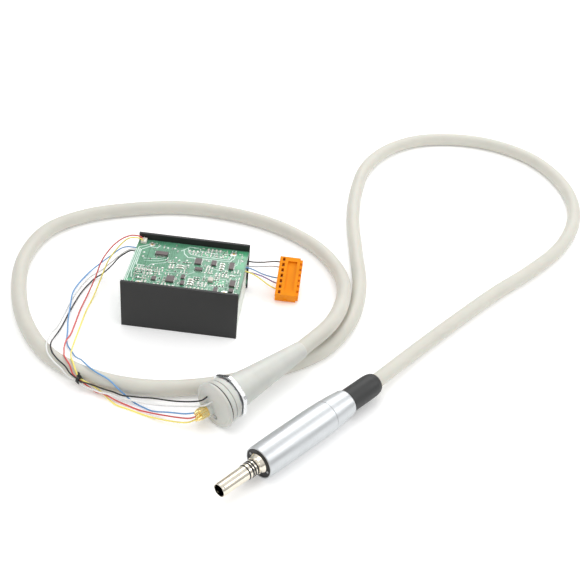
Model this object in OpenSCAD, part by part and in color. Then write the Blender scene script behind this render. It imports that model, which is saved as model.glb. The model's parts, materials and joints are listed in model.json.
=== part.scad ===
// Electric dental micromotor with its hose, panel gland, wires, controller and plug.
// Millimetres, +Z up, everything lies on z = 0, the motor's axis runs along X.

/* [Layout] */

// x of the barrel's front face
motor_x = -52.8; // [-120:0.1:20]
// y of the motor's axis
motor_y = -107; // [-160:1:-60]
// height of the motor's axis
motor_z = 12.05; // [12.05:0.05:20]
// x of the gland's face
gland_x = -42.7; // [-80:0.1:0]
// y of the gland's axis
gland_y = -52; // [-80:0.1:-30]
// height of the gland's axis at its face
gland_z = 17.2; // [17.2:0.1:22]
// lift of the gland's cone end, degrees
gland_tilt = 1.5; // [0:0.1:4]
// x of the controller's centre
box_x = 32; // [0:1:60]
// y of the controller's centre
box_y = 61.3; // [40:0.1:90]
// turn of the controller about Z, degrees
box_turn = -51.5; // [-90:0.5:0]
// x of the plug's lower front corner
plug_x = 90.9; // [80:0.1:110]
// y of the plug's lower front corner
plug_y = 20; // [0:0.1:40]
// turn of the plug about Z, degrees
plug_turn = 38.2; // [0:0.1:90]
// lift of the plug's far end, degrees
plug_tilt = 22; // [0:0.5:40]

/* [Motor] */

// barrel radius at its front
barrel_r = 11.6; // [11.4:0.1:12]
// barrel radius at its widest
barrel_r_mid = 12.05; // [11.8:0.05:12.5]
// barrel radius at the seam
barrel_r_seam = 11.7; // [11:0.05:12]
// barrel length up to the seam
barrel_len = 65.8; // [50:0.1:80]
// barrel bore radius
barrel_bore = 10.4; // [9.4:0.1:10.6]
// motor length up to the rear edge of the rear sleeve
motor_len = 86.4; // [84:0.1:110]
// rear sleeve radius at its rear edge
rear_r = 10.2; // [9.6:0.05:11]
// rubber boot radius
boot_r = 8.8; // [8.3:0.05:10]
// x distance from the front face to the boot's end
boot_end = 119; // [100:1:140]
// nose length in front of the barrel
nose_len = 35; // [25:0.5:45]
// nose radius at the tip
nose_tip_r = 5; // [4.8:0.05:5.1]
// nose radius at its root
nose_root_r = 5.4; // [5.2:0.05:5.5]
// nose mouth bore radius
mouth_r = 4; // [3:0.05:4.2]
// shaft radius
shaft_r = 1.5; // [1:0.05:2]
// bearing ball count
ball_n = 8; // [6:1:12]
// radial running clearance of the drive dog on the shaft
dog_clear = 0.05; // [0.01:0.01:0.1]

/* [Gland] */

// flange radius
flange_r = 17.2; // [14:0.1:20]
// flange thickness
flange_t = 2.4; // [2:0.1:3.5]
// threaded body radius
thread_r = 12.9; // [10:0.1:14]
// lock nut width across flats
nut_af = 31; // [29:0.5:34]
// lock nut height
nut_h = 3.2; // [2:0.1:6]
// cone radius at its big end
cone_r = 12.6; // [11:0.1:13]
// cone radius at its hose end
cone_end_r = 6.7; // [6.3:0.1:8]
// distance from the gland's face to the cone's hose end
cone_end = 87; // [60:1:100]

/* [Cords] */

// hose radius
hose_r = 6; // [4:0.1:7]
// hose radius where it leaves the motor
hose_r_start = 5.5; // [4:0.1:6]
// wire radius
wire_r = 0.55; // [0.5:0.05:1]
// cable tie inner radius
tie_r = 1.9; // [1.8:0.05:3]

/* [Controller] */

// controller width
box_w = 90; // [70:1:120]
// controller depth
box_d = 69; // [50:1:90]
// controller height
box_h = 42; // [30:1:60]
// side wall thickness
wall = 2.5; // [1:0.1:4]
// height of the top board's upper face
board_z = 36.6; // [30:0.1:40]
// board thickness
board_t = 1.6; // [0.8:0.1:2.4]
// height of the lower board's underside
lower_z = 8; // [5:0.5:15]

/* [Plug] */

// plug length over its seven poles
plug_l = 37; // [30:0.5:56]
// plug width
plug_w = 19; // [15:0.5:26]
// plug thickness
plug_h = 10; // [8:0.5:14]
// number of poles
poles = 7; // [2:1:12]

/* [Hidden] */

$fn = 64;

silver = [0.78, 0.79, 0.80];
nickel = [0.80, 0.79, 0.74];
black = [0.06, 0.06, 0.07];
greige = [0.84, 0.83, 0.79];
grey = [0.70, 0.71, 0.69];
gold = [0.85, 0.66, 0.30];
green = [0.15, 0.55, 0.35];
orange = [0.95, 0.55, 0.08];

bearing_a = 8;
bearing_b = 52;
bearing_t = 4;
plate_z = 0.5;
plate_r = 10.8;
plate_end = 3;
window_at = 8.5;
groove_r = 4.45;
connector_end = 83;
connector_r = 8.4;
turn_clear = 0.05;
seam = 0.2;
seam_edge = 0.15;
cluster_r = 4.4;
cluster_at = [6, 4.8];
dog_z = -31;
gasket_r = 16.4;
ring_z = 3.6;
nut_z = 13.9;
nut_corner = 17.1;
ledge = 1.6;
pillar_x = 33;
half_w = box_w / 2;
half_d = box_d / 2;
inner_d = half_d - wall;
pole_pitch = plug_l / poles;

// hose centre line, from the motor's boot to the gland's cone
hose_route = [[63.4, -107, 12], [120, -101.5, 6.9], [177.5, -99.5, 6.1], [234, -99, 6.1],
  [287.5, -101, 6.1], [338.5, -98, 6.1], [385, -84, 6.1], [422.5, -59.5, 6.1],
  [448.5, -25, 6.1], [460, 14.5, 6.1], [452.5, 54.5, 6.1], [429.5, 87, 6.1], [394, 110.5, 6.1],
  [352, 117, 6.1], [308.5, 108, 6.1], [266, 84, 6.1], [225, 52.5, 6.1], [188, 16.5, 6.1],
  [151.5, -19, 6.1], [112, -43.5, 6.1], [68.5, -53.5, 6.1], [25, -44.5, 6.1],
  [-17.5, -28.5, 6.1], [-54, -2, 6.1], [-78.5, 33, 6.1], [-89, 74, 6.1], [-81, 116.5, 6.1],
  [-60.5, 156.5, 6.1], [-32, 190, 6.1], [4.5, 210.5, 6.1], [44, 208.5, 6.1], [83.5, 190.5, 6.1],
  [119.5, 164.5, 6.1], [147, 128, 6.1], [163.5, 87.5, 6.2], [166.5, 44.5, 6.1], [152.5, 5.5, 8],
  [124, -24.5, 14.3], [85.5, -45.5, 19.5], [43, -52, 19.4]];

// wires from the gland to the controller's left end
black_route = [[-41.5, -45.2, 21.2], [-48, -43, 19], [-54, -27, 11], [-61, -9, 5.5],
  [-66, -3, 5], [-71, 3, 5], [-75.2, 7, 5.6], [-78, 14, 5.8], [-81, 20, 6], [-83.8, 25, 6.8],
  [-87.9, 30, 8.8], [-90.7, 34.5, 9.1], [-90.8, 39.5, 9.1], [-92.3, 44.5, 11.3],
  [-91.5, 51, 13], [-91.5, 60, 13.6], [-90.3, 68, 14], [-87, 75, 13.6], [-81.5, 82, 10.8],
  [-73, 91, 4.5], [-60, 101, 1], [-42, 114, 1], [-22, 127, 1], [-5, 134, 1.5], [3, 132, 5],
  [8, 127, 13], [12, 122, 22], [15, 116, 29], [17.5, 112.4, 32], [21.2, 107.7, 32]];
white_route = [[-41.5, -50.4, 20.1], [-48, -46, 16.5], [-57, -28, 9], [-66, -11, 4.4],
  [-73, 1, 4], [-77.5, 8, 3.8], [-80.6, 14, 4.7], [-84.8, 20, 5.3], [-86.5, 25, 5],
  [-88.8, 30, 5.8], [-90.7, 34.5, 7.1], [-90.8, 39.5, 7.1], [-93.8, 45, 8.8], [-94, 52, 11.3],
  [-94.3, 61, 12.6], [-93, 70, 14], [-88.5, 78, 14.5], [-81.5, 86, 11], [-72, 96, 5],
  [-59, 105.5, 1], [-42, 118, 1], [-24, 130, 1], [-7, 138, 1.5], [4, 136, 5], [9.5, 130.5, 13],
  [14, 124, 22], [17, 118, 29], [19.5, 113.9, 32], [23.2, 109.2, 32]];
red_route = [[-53.5, -47.2, 11], [-59, -43.5, 10], [-65, -28, 5], [-71.8, -10.5, 1.2], [-76, 1, 1],
  [-79.3, 8.6, 2], [-81.3, 14, 3.2], [-82.8, 20, 3], [-84.4, 25, 1.8], [-86.4, 30, 4],
  [-88.7, 34.5, 7.1], [-88.8, 39, 7.1], [-90.2, 44, 9.5], [-88.3, 50, 12.7], [-86.8, 56, 13.1],
  [-84.6, 62, 12.2], [-80.5, 68, 9.2], [-75, 76, 5.6], [-68, 83, 4], [-60, 89, 1.5],
  [-50, 97.5, 1], [-36, 109.5, 1], [-20, 121, 2], [-8, 127, 9], [2, 131, 19], [11, 129.5, 29],
  [18, 125.5, 36], [23.5, 121, 39.5], [26.4, 116.2, 40.8], [28.1, 113.8, 40.2],
  [29.6, 111.8, 38.2]];
yellow_route = [[-53.5, -47.2, 8.2], [-60, -44, 7], [-65.5, -34, 4.5], [-71.5, -18.5, 1.2],
  [-78, -2, 0.9], [-81.3, 6, 0.9], [-81.8, 13, 0.9], [-81.4, 19, 1.2], [-82.3, 25, 2.8],
  [-85.5, 30, 6.4], [-88.7, 34.5, 9.1], [-88.8, 39.5, 9.1], [-87.4, 45, 12.1], [-85.3, 50, 13],
  [-83.2, 55, 12.6], [-80.2, 60, 9.8], [-76, 66, 6.5], [-70, 73, 4], [-60, 83, 1],
  [-50, 91.5, 1], [-34, 105, 1], [-18, 116, 2], [-5, 123.5, 9], [5, 127, 19], [12, 125, 28.5],
  [17.5, 122, 35.5], [21, 118.6, 39.5], [24.3, 114, 40.8], [26.5, 111.2, 40.2],
  [28.4, 108.8, 38.2]];
blue_route = [[-53.5, -46, 13.6], [-59, -41, 12.5], [-64, -30, 9], [-67, -17, 2.5],
  [-69, -8, 1.2], [-71, 0, 1.6], [-72.6, 7, 4.2], [-75.1, 13, 8.9], [-76.4, 18, 12],
  [-77.5, 24, 13.1], [-79, 31, 13.3], [-79.5, 39, 13.3], [-78.5, 46, 12.2], [-76.5, 53, 9.3],
  [-74.5, 60, 5], [-72.5, 67, 1.6], [-70.5, 74, 0.9], [-69, 80, 0.9], [-66, 86, 0.9],
  [-60, 93, 1.2], [-53, 102, 2.9], [-46, 110, 3.2], [-38, 119, 3.3], [-30, 128, 2.8],
  [-20, 136, 1.2], [-8, 142, 1], [2, 144.5, 2.5], [11, 142, 8], [17, 136, 16], [19, 128, 25],
  [19.6, 120.5, 30.5], [21.6, 115.4, 32], [25.2, 110.8, 32]];

// leads from the controller's right end to the plug
lead_black_route = [[79.5, 44.1, 31], [81.5, 42, 30.9], [83.8, 40.2, 30.4], [86.4, 39, 29.7],
  [89.1, 38.3, 28.8], [91.8, 38.1, 27.7], [94.5, 38.2, 26.4], [97.1, 38.6, 25.2],
  [99.7, 39.1, 23.9], [102.3, 39.6, 22.5], [104.9, 40.1, 21.2], [107.5, 40.4, 20],
  [110.2, 40.4, 18.8], [112.9, 39.6, 17.8], [115.1, 37.8, 17.5]];
lead_grey_route = [[77.7, 42.7, 28.3], [79.6, 40.9, 27.9], [81.9, 39.5, 27.2],
  [84.3, 38.7, 26.4], [86.8, 38.2, 25.5], [89.4, 38, 24.5], [91.9, 37.8, 23.5],
  [94.4, 37.8, 22.5], [96.9, 37.8, 21.4], [99.4, 37.9, 20.3], [101.9, 37.8, 19.3],
  [104.4, 37.6, 18.2], [106.8, 37.2, 17.2], [109.2, 36.3, 16.2], [111.2, 34.7, 15.5]];
lead_blue_route = [[74, 39.8, 30], [76, 38.1, 29.4], [78.2, 37.2, 28.1], [80.4, 36.7, 26.5],
  [82.5, 36.5, 24.8], [84.6, 36.4, 23], [86.7, 36.3, 21.2], [88.8, 36.1, 19.4],
  [90.9, 35.9, 17.7], [93.1, 35.4, 16.1], [95.3, 34.8, 14.6], [97.5, 33.8, 13.4],
  [99.6, 32.4, 12.4], [101.7, 30.6, 11.8], [103.5, 28.6, 11.6]];
lead_violet_route = [[72.3, 38.4, 27.6], [74, 36.4, 27.3], [75.8, 34.6, 26.8], [77.8, 33.1, 26],
  [79.9, 31.8, 24.9], [81.9, 30.8, 23.6], [84, 30.1, 22.2], [86, 29.7, 20.6], [88, 29.4, 18.9],
  [90, 29.2, 17.1], [91.9, 29, 15.4], [93.9, 28.7, 13.6], [95.8, 28.2, 11.9],
  [97.8, 27.3, 10.5], [99.6, 25.6, 9.6]];
lead_yellow_route = [[70.4, 36.9, 29.5], [72.2, 35, 29], [74.1, 33.4, 28], [76, 32.1, 26.6],
  [77.9, 31.1, 24.9], [79.7, 30.3, 23.1], [81.5, 29.7, 21.2], [83.2, 29.1, 19.3],
  [85, 28.5, 17.3], [86.7, 27.9, 15.4], [88.5, 27.3, 13.4], [90.3, 26.6, 11.6],
  [92.1, 25.7, 9.8], [94, 24.4, 8.4], [95.8, 22.6, 7.6]];

// ---- cord helpers ----

function unit(v) = v / norm(v);
function before(p, i) = i == 0 ? 2 * p[0] - p[1] : p[i - 1];
function after(p, i) = i + 2 > len(p) - 1 ? 2 * p[i + 1] - p[i] : p[i + 2];
function curve(a, b, c, d, t) = 0.5 * (2 * b + (c - a) * t
  + (2 * a - 5 * b + 4 * c - d) * t * t + (3 * b - a - 3 * c + d) * t * t * t);
function lifted(v, low) = [v.x, v.y, max(v.z, low)];
// stations along a route, k for each stretch, none lower than low above the table
function stations(p, k, low) = [
  for (i = [0 : len(p) - 2])
    for (j = [0 : k - 1])
      lifted(curve(before(p, i), p[i], p[i + 1], after(p, i), j / k), low),
  p[len(p) - 1]];
function heading(q, i) = unit(q[min(i + 1, len(q) - 1)] - q[max(i - 1, 0)]);
function side(q, i) = unit(cross(heading(q, i), [0, 0, 1]));
function rim(q, i, r, n) = let (s = side(q, i), u = cross(s, heading(q, i)))
  [for (k = [0 : n - 1]) q[i] + r * (cos(360 * k / n) * s + sin(360 * k / n) * u)];
function skin(m, n) = concat(
  [[for (k = [0 : n - 1]) k]],
  [for (i = [0 : m - 2]) for (k = [0 : n - 1])
    [i * n + k, (i + 1) * n + k, i * n + (k + 1) % n]],
  [for (i = [0 : m - 2]) for (k = [0 : n - 1])
    [(i + 1) * n + k, (i + 1) * n + (k + 1) % n, i * n + (k + 1) % n]],
  [[for (k = [n - 1 : -1 : 0]) (m - 1) * n + k]]);
// a tube of radius r, growing from r0 over its first few stations
module tube(q, r, r0, grow, n) {
  pts = [for (i = [0 : len(q) - 1])
    each rim(q, i, i < grow ? r0 + (r - r0) * i / grow : r, n)];
  polyhedron(points = pts, faces = skin(len(q), n), convexity = 12);
}
module wire(p) {
  tube(stations(p, 2, wire_r), wire_r, wire_r, 0, 8);
}
module lead(p) {
  tube(stations(p, 1, wire_r), wire_r, wire_r, 0, 8);
}

// ---- placement helpers ----

module on_motor() {
  translate([motor_x, motor_y, motor_z]) rotate([0, 90, 0]) children();
}
module on_gland() {
  translate([gland_x, gland_y, gland_z]) rotate([0, 90 - gland_tilt, 0]) children();
}
module on_box() {
  translate([box_x, box_y, 0]) rotate([0, 0, box_turn]) children();
}
module on_plug() {
  translate([plug_x, plug_y, 0]) rotate([0, 0, plug_turn]) rotate([0, -plug_tilt, 0])
    children();
}
module ring(r1, r2, z1, z2) {
  translate([0, 0, z1]) difference() {
    cylinder(r = r2, h = z2 - z1);
    translate([0, 0, -1]) cylinder(r = r1, h = z2 - z1 + 2);
  }
}
module turned(pts) {
  rotate_extrude() polygon(pts);
}
module o_ring(major, minor, z) {
  rotate_extrude() translate([major, z]) circle(r = minor);
}

// ---- motor ----

module barrel_sleeve() {
  color(silver) on_motor() turned([[barrel_bore, plate_end], [plate_r, plate_end],
    [plate_r, 0], [barrel_r - 0.3, 0], [barrel_r, 0.3], [barrel_r + 0.25, 9],
    [barrel_r_mid - 0.05, 20], [barrel_r_mid, 36], [barrel_r_mid, 52],
    [barrel_r_mid - 0.1, 59], [barrel_r_seam, barrel_len - seam_edge],
    [barrel_r_seam - seam_edge, barrel_len],
    [connector_r, barrel_len], [connector_r, 60.2], [barrel_bore, 60.2]]);
}
module rear_sleeve() {
  color(silver) on_motor() turned([[connector_r + turn_clear, barrel_len + seam],
    [barrel_r_seam - seam_edge, barrel_len + seam],
    [barrel_r_seam, barrel_len + seam + seam_edge], [rear_r + 0.95, 75],
    [rear_r, motor_len - 0.8], [rear_r - 0.35, motor_len],
    [connector_r + turn_clear, motor_len]]);
}
module front_plate() {
  color(black) on_motor() difference() {
    ring(5.9, plate_r, plate_z, plate_end);
    for (a = [17, 197])
      rotate([0, 0, a]) translate([0, window_at, -1]) cylinder(r = 0.9, h = 6, $fn = 32);
  }
}
module light_windows() {
  color([0.9, 0.93, 0.95]) on_motor()
    for (a = [17, 197])
      rotate([0, 0, a]) translate([0, window_at, 0.3])
        cylinder(r = 0.9, h = plate_end - 0.3, $fn = 32);
}
module coupling_nose() {
  color(nickel) on_motor() difference() {
    turned([[mouth_r, -nose_len], [nose_tip_r - 0.3, -nose_len],
      [nose_tip_r, -nose_len + 0.4], [nose_tip_r, -26], [5.1, -20], [5.2, -13.2],
      [5.2, -12.7], [4.8, -12.7], [4.8, -11.7], [nose_root_r, -11.7],
      [nose_root_r, -9.9], [groove_r, -9.9], [groove_r, -8.5], [nose_root_r, -8.5],
      [nose_root_r, -8], [groove_r, -8], [groove_r, -6.6], [nose_root_r, -6.6],
      [nose_root_r, -5.7], [groove_r, -5.7], [groove_r, -4.3], [nose_root_r, -4.3],
      [nose_root_r, 0], [5.9, plate_z], [5.9, plate_end], [barrel_bore, plate_end],
      [barrel_bore, 7],
      [6.6, 7], [6.6, 12.6], [5.5, 12.6], [5.5, bearing_a], [3.6, bearing_a],
      [3.6, 6], [2, 6], [2, -14.5], [mouth_r, -14.5]]);
    for (a = [0, 60, 120])
      rotate([0, 0, a]) translate([-0.6, -4.5, -nose_len - 0.1]) cube([1.2, 9, 1.3]);
    translate([0, 0, -33.4]) rotate([0, -90, 35]) cylinder(r = 0.5, h = 6, $fn = 32);
  }
}
module nose_collar() {
  color([0.72, 0.70, 0.64]) on_motor() turned([[nose_root_r, -3.9], [5.9, -3.9],
    [6.1, -3.7], [6.15, -2.9], [6.4, -2], [6.9, -1], [7.3, -0.3], [7.3, plate_z],
    [5.9, plate_z], [nose_root_r, 0]]);
}
module nose_o_rings() {
  color(black) on_motor() {
    for (z = [-9.2, -7.3, -5])
      o_ring(groove_r + 0.63, 0.62, z);
  }
}
module nose_seal_ring() {
  color([0.2, 0.18, 0.15]) on_motor() o_ring(5.17, 0.36, -12.2);
}
module stator_core() {
  color([0.45, 0.46, 0.48]) on_motor() difference() {
    ring(5.7, barrel_bore, 16, 48);
    for (a = [0 : 60 : 300])
      rotate([0, 0, a]) translate([5, -0.7, 15]) cube([2.4, 1.4, 34]);
  }
}
module stator_windings() {
  color([0.72, 0.38, 0.18]) on_motor() {
    ring(5.9, 8.8, 13.2, 16);
    ring(5.9, 8.8, 48, 50.8);
    for (a = [0 : 60 : 300])
      rotate([0, 0, a]) translate([5.9, -0.7, 16]) cube([1.5, 1.4, 32]);
  }
}
module rear_housing() {
  color(silver) on_motor() difference() {
    turned([[2.6, 60.2], [2.6, 56], [5.5, 56], [5.5, 51.2], [barrel_bore, 51.2],
      [barrel_bore, 60.2]]);
    for (a = [45 : 90 : 315])
      rotate([0, 0, a]) translate([6.8, 0, 56]) cylinder(r = 0.5, h = 6, $fn = 24);
  }
}
module rear_connector() {
  color([0.75, 0.72, 0.62]) on_motor() difference() {
    ring(1.2, connector_r, 60.2, connector_end);
    for (a = [45 : 90 : 315])
      rotate([0, 0, a]) translate([6.8, 0, 60]) cylinder(r = 0.5, h = 6, $fn = 24);
  }
}
module connector_pins() {
  color(gold) on_motor()
    for (a = [45 : 90 : 315])
      rotate([0, 0, a]) translate([6.8, 0, 56.2]) cylinder(r = 0.5, h = 9.6, $fn = 24);
}
module rear_boot() {
  color(black) on_motor() turned([[3, connector_end], [connector_r - 0.2, connector_end],
    [connector_r - 0.2, motor_len + 0.2], [boot_r - 0.2, motor_len + 0.2],
    [boot_r, motor_len + 0.5], [boot_r, boot_end - 8],
    [boot_r - 0.25, boot_end - 4.5], [boot_r - 0.8, boot_end - 2],
    [boot_r - 1.5, boot_end - 0.7], [boot_r - 2.4, boot_end], [hose_r_start - 0.1, boot_end],
    [hose_r_start - 0.1, boot_end - 3], [3, boot_end - 3]]);
}
module race_outer(z) {
  on_motor() turned([[4.6, z], [5.5, z], [5.5, z + bearing_t], [4.6, z + bearing_t]]);
}
module race_inner(z) {
  on_motor() turned([[2, z], [2.9, z], [2.9, z + bearing_t], [2, z + bearing_t]]);
}
module balls(z) {
  on_motor()
    for (i = [0 : ball_n - 1])
      rotate([0, 0, 360 * i / ball_n]) translate([3.75, 0, z + bearing_t / 2])
        sphere(r = 0.8, $fn = 24);
}
module front_bearing_outer() {
  color(nickel) race_outer(bearing_a);
}
module rear_bearing_outer() {
  color(nickel) race_outer(bearing_b);
}
module front_bearing_inner() {
  color(nickel) race_inner(bearing_a);
}
module rear_bearing_inner() {
  color(nickel) race_inner(bearing_b);
}
module front_bearing_balls() {
  color(silver) balls(bearing_a);
}
module rear_bearing_balls() {
  color(silver) balls(bearing_b);
}
module rotor_shaft() {
  color(nickel) on_motor() turned([[0, -26.2], [shaft_r - 0.2, -26.2],
    [shaft_r, -26], [shaft_r, -15.3], [2.6, -15.3], [2.6, -14.8], [shaft_r, -14.8],
    [shaft_r, 7.4], [2.4, 7.4], [2.4, bearing_a], [2, bearing_a],
    [2, 57.6], [0, 57.6]]);
}
module rotor_magnet() {
  color([0.25, 0.25, 0.27]) on_motor() ring(2, 5.2, 17, 47);
}
module drive_dog() {
  color(nickel) on_motor() difference() {
    turned([[0, dog_z], [2.2, dog_z], [2.6, dog_z + 0.6], [2.6, -21],
      [shaft_r + dog_clear, -21], [shaft_r + dog_clear, -28], [0, -28]]);
    translate([-0.6, -4, dog_z - 0.1]) cube([1.2, 8, 1.8]);
  }
}
module dog_spring() {
  color(silver) on_motor() {
    tube([for (i = [0 : 48]) [2.2 * cos(30 * i), 2.2 * sin(30 * i), -18.9 + 0.07 * i]],
      0.22, 0.22, 0, 6);
  }
}

// ---- hose, gland and wires ----

module hose() {
  color(greige) tube(stations(hose_route, 2, hose_r), hose_r, hose_r_start, 8, 12);
}
module gland_flange() {
  color(grey) on_gland() difference() {
    union() {
      turned([[0, 0.4], [flange_r - 3.4, 0.4], [flange_r - 2.6, 0], [flange_r - 0.9, 0],
        [flange_r, 0.9], [flange_r, flange_t], [thread_r, flange_t], [thread_r, 17.2],
        [10.4, 17.2], [10.4, 24], [8, 24], [8, 3.5], [0, 3.5]]);
      translate([cluster_at.x, cluster_at.y, -3]) cylinder(r = cluster_r + 1, h = 4);
    }
    translate([cluster_at.x, cluster_at.y, -4]) cylinder(r = cluster_r, h = 4.4);
    translate([-3.9, 6.8, -1]) cylinder(r = wire_r - 0.05, h = 5.5, $fn = 24);
    translate([-2.9, 1.6, -1]) cylinder(r = wire_r - 0.05, h = 5.5, $fn = 24);
    translate([9.6, -2, -1]) cylinder(r = 1.1, h = 5.5, $fn = 24);
  }
}
module gland_gasket() {
  color(black) on_gland() ring(thread_r, gasket_r, flange_t, ring_z);
}
module gland_ring() {
  color(grey) on_gland() turned([[thread_r, ring_z], [16, ring_z], [16.4, ring_z + 0.4],
    [16.4, 7], [16, 7.4], [15.2, 7.4], [15.2, 8.1], [15.8, 8.1], [16, 8.4],
    [16, 11.6], [15.6, 12], [thread_r, 12]]);
}
module gland_washer() {
  color([0.5, 0.51, 0.52]) on_gland() difference() {
    ring(thread_r + 0.3, 14.8, 12.4, 13.4);
    for (a = [0 : 30 : 330])
      rotate([0, 0, a]) translate([14, -0.5, 12]) cube([2, 1, 2]);
  }
}
module lock_nut() {
  color([0.9, 0.91, 0.92]) on_gland() difference() {
    intersection() {
      translate([0, 0, nut_z]) cylinder(r = nut_af / 2 / cos(30), h = nut_h, $fn = 6);
      turned([[0, nut_z], [nut_corner - 0.8, nut_z], [nut_corner, nut_z + 0.5],
        [nut_corner, nut_z + nut_h - 0.5], [nut_corner - 0.8, nut_z + nut_h],
        [0, nut_z + nut_h]]);
    }
    translate([0, 0, nut_z - 1]) cylinder(r = thread_r + 0.3, h = nut_h + 2);
  }
}
module strain_relief_cone() {
  color(grey) on_gland() turned([[10.4, 17.5], [cone_r - 0.5, 17.5], [cone_r, 18],
    [cone_r, 21], [cone_r - 1.6, 36], [cone_end_r + 0.9, cone_end - 12],
    [cone_end_r, cone_end - 0.6], [cone_end_r - 0.4, cone_end],
    [hose_r - 0.1, cone_end], [hose_r - 0.1, cone_end - 4], [5, cone_end - 4],
    [8, 24], [10.4, 24]]);
}
module contact_cluster() {
  color(gold) on_gland() translate([cluster_at.x, cluster_at.y, 0]) {
    difference() {
      translate([0, 0, -9]) cylinder(r = cluster_r, h = 9.4);
      for (a = [30 : 60 : 330])
        rotate([0, 0, a]) translate([4.6, 0, -10]) cylinder(r = 1.1, h = 7, $fn = 24);
    }
    for (at = [[-2.4, 1.2], [0.2, 0], [3, 0], [0.6, -2.7]])
      translate([at[0], at[1], -12]) cylinder(r = 1.2, h = 3, $fn = 24);
  }
}
module flange_screw() {
  color([0.35, 0.33, 0.3]) on_gland() translate([9.6, -2, 0]) difference() {
    union() {
      translate([0, 0, -0.4]) cylinder(r = 1.6, h = 0.8, $fn = 32);
      translate([0, 0, 0.4]) cylinder(r = 1.1, h = 3.1, $fn = 32);
    }
    translate([-0.25, -2, -1]) cube([0.5, 4, 1]);
  }
}
module wire_black() {
  color(black) wire(black_route);
}
module wire_white() {
  color([0.95, 0.95, 0.95]) wire(white_route);
}
module wire_red() {
  color([0.8, 0.15, 0.15]) wire(red_route);
}
module wire_yellow() {
  color([0.95, 0.85, 0.2]) wire(yellow_route);
}
module wire_blue() {
  color([0.25, 0.4, 0.65]) wire(blue_route);
}
module cable_tie() {
  color(black) translate([-89.8, 37, 8.1]) rotate([90, 0, 0]) {
    ring(tie_r, tie_r + 0.75, -1.2, 1.2);
    translate([-1.2, tie_r + 0.3, -1.4]) cube([2.4, 2.2, 2.8]);
    translate([-0.4, tie_r + 2.5, -1]) cube([0.8, 3, 2]);
  }
}

// ---- controller ----

module channel_housing() {
  color(black) on_box() {
    for (s = [-1, 1]) {
      translate([-half_w, s > 0 ? inner_d : -half_d, 0]) cube([box_w, wall, box_h]);
      for (z = [lower_z - ledge, board_z - board_t - ledge])
        translate([-half_w + 2, s > 0 ? inner_d - ledge : -inner_d, z])
          cube([box_w - 4, ledge, ledge]);
    }
    translate([-half_w, -inner_d, 0]) cube([box_w - 2.2, 2 * inner_d, 2]);
  }
}
module main_board() {
  color(green) on_box() difference() {
    translate([-half_w + 0.3, -inner_d, board_z - board_t])
      cube([box_w - 0.6, 2 * inner_d, board_t]);
    for (x = [-pillar_x, pillar_x])
      for (y = [-26, 26])
        translate([x, y, board_z - board_t - 1]) cylinder(r = 1, h = 4, $fn = 24);
  }
}
module power_board() {
  color(green) on_box() {
    translate([-half_w + 1.5, -inner_d, lower_z]) cube([box_w - 4, 2 * inner_d, board_t]);
    translate([half_w - 2.5, inner_d - 6, lower_z]) cube([2.2, 6, board_t]);
  }
}
module chip(x, y, w, d, h) {
  translate([x - w / 2, y - d / 2, board_z]) cube([w, d, h]);
}
module board_chips() {
  color([0.12, 0.11, 0.11]) on_box() {
    chip(-22.8, 13.5, 10, 5.6, 2);
    chip(7.2, 9.3, 6, 7.6, 1.6);
    chip(9, -0.5, 6, 4.6, 1.4);
    chip(19.6, 9.5, 4.8, 6.4, 1.6);
    chip(33.8, 8.2, 4.6, 9, 1.6);
    chip(37.6, -14.5, 5, 7.6, 1.8);
    chip(37.8, -23, 4.4, 4.6, 1.5);
    chip(26, -24.6, 4, 6, 1.6);
    chip(-22.5, -19.4, 4.4, 4.6, 1.5);
    chip(-10, -18, 7, 7.6, 1.8);
    chip(-1, -13, 3.8, 5, 1.4);
    chip(-0.2, -20.6, 3.8, 5, 1.4);
  }
}
module board_passives() {
  color([0.82, 0.78, 0.70]) on_box() {
    chip(20.5, -13.1, 4, 4.6, 2.2);
    for (i = [0 : 5]) chip(-21 + 2.9 * i, -26.4, 1.4, 2.8, 0.8);
    for (i = [0 : 2]) chip(11.8 + 3 * i, -18.1, 1.3, 2.8, 0.8);
    for (i = [0 : 2]) chip(5.4, -14.6 - 3.2 * i, 3.4, 1.6, 0.9);
    for (i = [0 : 1]) chip(-13.4 + 2.4 * i, -1, 1.3, 5, 0.8);
    for (i = [0 : 1]) chip(-5.6, 1.6 - 3 * i, 5.2, 1.2, 0.8);
    for (i = [0 : 3]) chip(-38 + 3.4 * i, -8.5, 2.4, 1.3, 0.7);
    for (i = [0 : 2]) chip(-31 + 2.4 * i, -13.5, 1.2, 2.6, 0.7);
    for (i = [0 : 1]) chip(-30.5 + 2.6 * i, -24, 1.4, 2.6, 0.8);
    for (i = [0 : 3]) chip(12.4 + 3.2 * i, 27.4, 1.5, 2.8, 0.8);
    for (i = [0 : 2]) chip(-2 + 3.2 * i, 22.6, 1.4, 2.4, 0.8);
    for (i = [0 : 3]) chip(23.6 + 2.6 * i, -4.8, 1.2, 3.6, 0.8);
    for (i = [0 : 2]) chip(26.4, 10.6 - 3.2 * i, 3, 1.5, 0.8);
    for (i = [0 : 4]) chip(4 + 3 * i, -25.6, 1.3, 2.6, 0.8);
  }
}
module capacitors() {
  color([0.15, 0.2, 0.35]) on_box()
    for (x = [-22, -8])
      translate([x, -16, lower_z + board_t]) {
        cylinder(r = 5, h = 17);
        translate([0, 0, 17]) cylinder(r = 4.4, h = 0.6);
      }
}
module power_transistors() {
  color([0.1, 0.1, 0.1]) on_box()
    for (i = [0 : 3])
      translate([-28 + 13 * i, 22, lower_z + board_t]) cube([10, 4.5, 15]);
}
module board_pillars() {
  color(gold) on_box()
    for (x = [-pillar_x, pillar_x])
      for (y = [-26, 26])
        translate([x, y, lower_z + board_t]) {
          cylinder(r = 2, h = board_z - 2 * board_t - lower_z, $fn = 6);
          cylinder(r = 1, h = board_z - board_t - lower_z + 0.3, $fn = 24);
        }
}
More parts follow.
